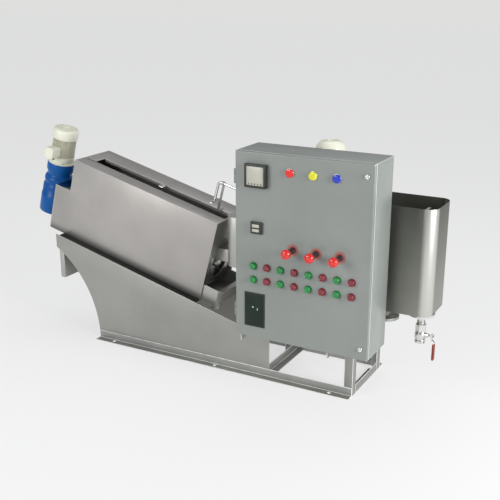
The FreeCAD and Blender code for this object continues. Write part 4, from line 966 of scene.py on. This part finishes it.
contactorSize = (45, 76, 78)
deviceRows = (  # name, size, rise, count, step and finish
    ("breakers", (18, 82, 62), 950, 12, 18, "moduleGrey"),
    ("contactorsUpper", contactorSize, 800, 8, 48, None),
    ("contactorsLower", contactorSize, 613, 8, 48, None),
    ("terminalRow", (8, 52, 44), 427, 34, 8.2, "moduleGrey"))
for name, size, rise, count, step, look in deviceRows:
    spots = onDoor([325 + i * step for i in range(count)], rise, railFace, asMade)
    finish(spread(name, device(*size), spots), "press", "meter_black", look)
plateScrews = [((x, plateFace, z), toFront) for x in (266, 774) for z in (326, 1032)]
finish(spread("plateScrews", hexScrew(6), plateScrews), "press", "zinc_plate")
print("inside of the cabinet made")


# Drain valve, grip and outlet

valve = {
    "spot": (935, -45, 0), "stem": (935, -45, 301),
    "body": [(13.8, 300), (13.8, 266), (15, 265.1), (21.6, 265.1), (23, 266.4), (23, 279), (21.8, 281),
             (22.4, 283), (24, 287), (24, 307), (22.4, 312), (20.6, 314), (20.6, 317)],
    "nut": [(19, 315.4), (21.2, 316), (23.4, 318.4), (23.4, 347.6), (21.2, 350), (18.6, 350.6)],
    "thread": {"turns": 8, "pitch": 2.2, "crest": 16.85, "root": 15.9, "foot": 351},
    "flange": [(16.85, 369), (16.85, 389), (19, 391), (54.6, 391), (56, 392.2), (56, 401.8), (54.6, 403)],
    "boss": [(10, 20), (10, 26), (9.2, 27), (10, 28), (10, 31.6), (9, 33), (6.3, 33), (6.3, 31)],
    "leverNut": [(5, 52), (7.4, 52.2), (8, 53), (8, 57.4), (7.4, 58.4), (4.2, 58.6), (3.9, 60), (2, 60.4)]}
thread = valve["thread"]
nipple = [(thread["crest"], 348)]
for i in range(thread["turns"]):
    rise = thread["foot"] + i * thread["pitch"]
    nipple += [(thread["crest"], rise), (thread["root"], rise + thread["pitch"] / 2)]
for name, outline, sides, smooth in (("valveBody", valve["body"], 48, 45), ("valveNut", valve["nut"], 6, 30),
                                     ("valveNipple", nipple + valve["flange"], 48, smoothBelow)):
    finish(turned(name, outline, sides, valve["spot"]),
           "press", "bright_pipe", replaced=["drain_valve"], smooth=smooth)
finish(turned("valveBoss", valve["boss"], 36, valve["stem"], toRight),
       "press", "bright_pipe", replaced=["drain_valve"])
finish(turned("leverNut", valve["leverNut"], 6, valve["stem"], toRight), "drain_lever", "bright_pipe")

grip = {"sleeve": ((990.3, -55, 193), (999.7, -35, 269)), "rib": ((990.2, -55.3, -0.9), (999.8, -34.7, 0.9)),
        "ribs": 11, "firstRib": 203, "step": 5.2}
sleeve = block("leverGrip", *grip["sleeve"], rounding=4.2, segments=4)
spots = [((0, 0, grip["firstRib"] + i * grip["step"]), asMade) for i in range(grip["ribs"])]
ribs = spread("gripRibs", block("rib", *grip["rib"], rounding=0.7), spots)
finish(joined("leverGrip", [sleeve, ribs]), "drain_lever", "grip_red", replaced=["lever_grip"])
print("valve and grip made")


# Welds and screws of the frame, the tanks and the covers

weld = {"pitch": 3.2, "crest": 2.3, "valley": 1.8, "end": 0.6, "frameLength": 38, "cheekLength": 30}


def bead(length):
    # a row of overlapping drops
    shape = [(weld["end"], 0)]
    count = int(length / weld["pitch"])
    for i in range(count):
        shape += [(weld["crest"], (i + 0.35) * length / count), (weld["valley"], (i + 1) * length / count)]
    shape[-1] = (weld["end"], length)
    return turned("bead", shape, 8)


welds = [((x, y, 40), toRight) for x in (213, 647) for y in (-170, -130, 130, 170)]
welds += [((x, y, 39.4), toRight) for x in (-685, 213, 647) for y in (-170, 170)]
finish(spread("frameWelds", bead(weld["frameLength"]), welds), "press", "frame_steel")
welds = [((-560 + i * 60, y, 41), toRight) for i in range(13) for y in (-172, 172)]
finish(spread("cheekWelds", bead(weld["cheekLength"]), welds), "press", "frame_steel")
lidScrews = [((x, y, 718), asMade) for x in (290, 385, 573, 660) for y in (-112, 112)]
finish(spread("lidScrews", hexScrew(6), lidScrews), "press", "zinc_plate")
print("welds and screws made")


# Floor, light and camera

pale = {"floor": (0.78, 0.78, 0.775, 1), "floorRough": 0.9, "horizon": (0.735, 0.735, 0.73, 1),
        "share": 0.62, "sky": (0.86, 0.88, 0.9, 1), "skyStrength": 0.42}


def mixed(tree, share, first, second, target):
    mix = addNode(tree, "ShaderNodeMixShader")
    tree.links.new(share, mix.inputs["Fac"])
    tree.links.new(first, mix.inputs[1])
    tree.links.new(second, mix.inputs[2])
    tree.links.new(mix.outputs["Shader"], target.inputs["Surface"])


deselect()
bpy.ops.mesh.primitive_plane_add(size=60, location=(0, 0, -0.001))
floor = bpy.context.object
floor.name = "floor"
floorPaint, tree, shader = newMaterial("floorPale")
shader.inputs["Base Color"].default_value = pale["floor"]
shader.inputs["Roughness"].default_value = pale["floorRough"]
glow = addNode(tree, "ShaderNodeEmission", Color=(1, 1, 1, 1), Strength=1.0)
rays = addNode(tree, "ShaderNodeLightPath")
seen = addNode(tree, "ShaderNodeMath", operation="MAXIMUM")
tree.links.new(rays.outputs["Is Camera Ray"], seen.inputs[0])
tree.links.new(rays.outputs["Is Glossy Ray"], seen.inputs[1])
share = addNode(tree, "ShaderNodeMath", operation="MULTIPLY")
share.inputs[1].default_value = pale["share"]
tree.links.new(seen.outputs[0], share.inputs[0])
mixed(tree, share.outputs[0], shader.outputs["BSDF"], glow.outputs["Emission"],
      tree.nodes["Material Output"])
floor.data.materials.append(floorPaint)

world = bpy.data.worlds.new("studio")
bpy.context.scene.world = world
world.use_nodes = True
tree = world.node_tree
sky = tree.nodes["Background"]
sky.inputs["Color"].default_value = pale["sky"]
sky.inputs["Strength"].default_value = pale["skyStrength"]
horizon = addNode(tree, "ShaderNodeBackground", Color=pale["horizon"], Strength=1.0)
rays = addNode(tree, "ShaderNodeLightPath")
mixed(tree, rays.outputs["Is Camera Ray"], sky.outputs["Background"], horizon.outputs["Background"],
      tree.nodes["World Output"])


def addLamp(name, place, target, size, power):
    lamp = bpy.data.lights.new(name, "AREA")
    lamp.shape = "SQUARE"
    lamp.size = size
    lamp.energy = power
    item = bpy.data.objects.new(name, lamp)
    bpy.context.scene.collection.objects.link(item)
    item.location = place
    item.rotation_euler = (Vector(target) - Vector(place)).to_track_quat("-Z", "Y").to_euler()


addLamp("keyLamp", (-1.9, -4.4, 2.3), (0, 0, 0.5), 2.4, 120)
addLamp("sideLamp", (4.0, -1.1, 1.7), (0.7, 0, 0.7), 1.4, 125)
addLamp("topLamp", (0.2, 1.4, 3.8), (0, 0, 0.5), 2.5, 22)

view = {"place": (1.90187, -3.32248, 1.73476), "yaw": 28.651, "pitch": 18.137, "lens": 61.42, "lift": 0.016,
        "sensor": 36, "reach": 100}
camera = bpy.data.cameras.new("camera")
camera.lens = view["lens"]
camera.sensor_width = view["sensor"]
camera.shift_y = view["lift"]
camera.clip_end = view["reach"]
cameraItem = bpy.data.objects.new("camera", camera)
bpy.context.scene.collection.objects.link(cameraItem)
cameraItem.location = view["place"]
cameraItem.rotation_euler = (math.radians(90 - view["pitch"]), 0, math.radians(view["yaw"]))
bpy.context.scene.camera = cameraItem
bpy.context.scene.view_settings.view_transform = "Standard"
print("studio set")
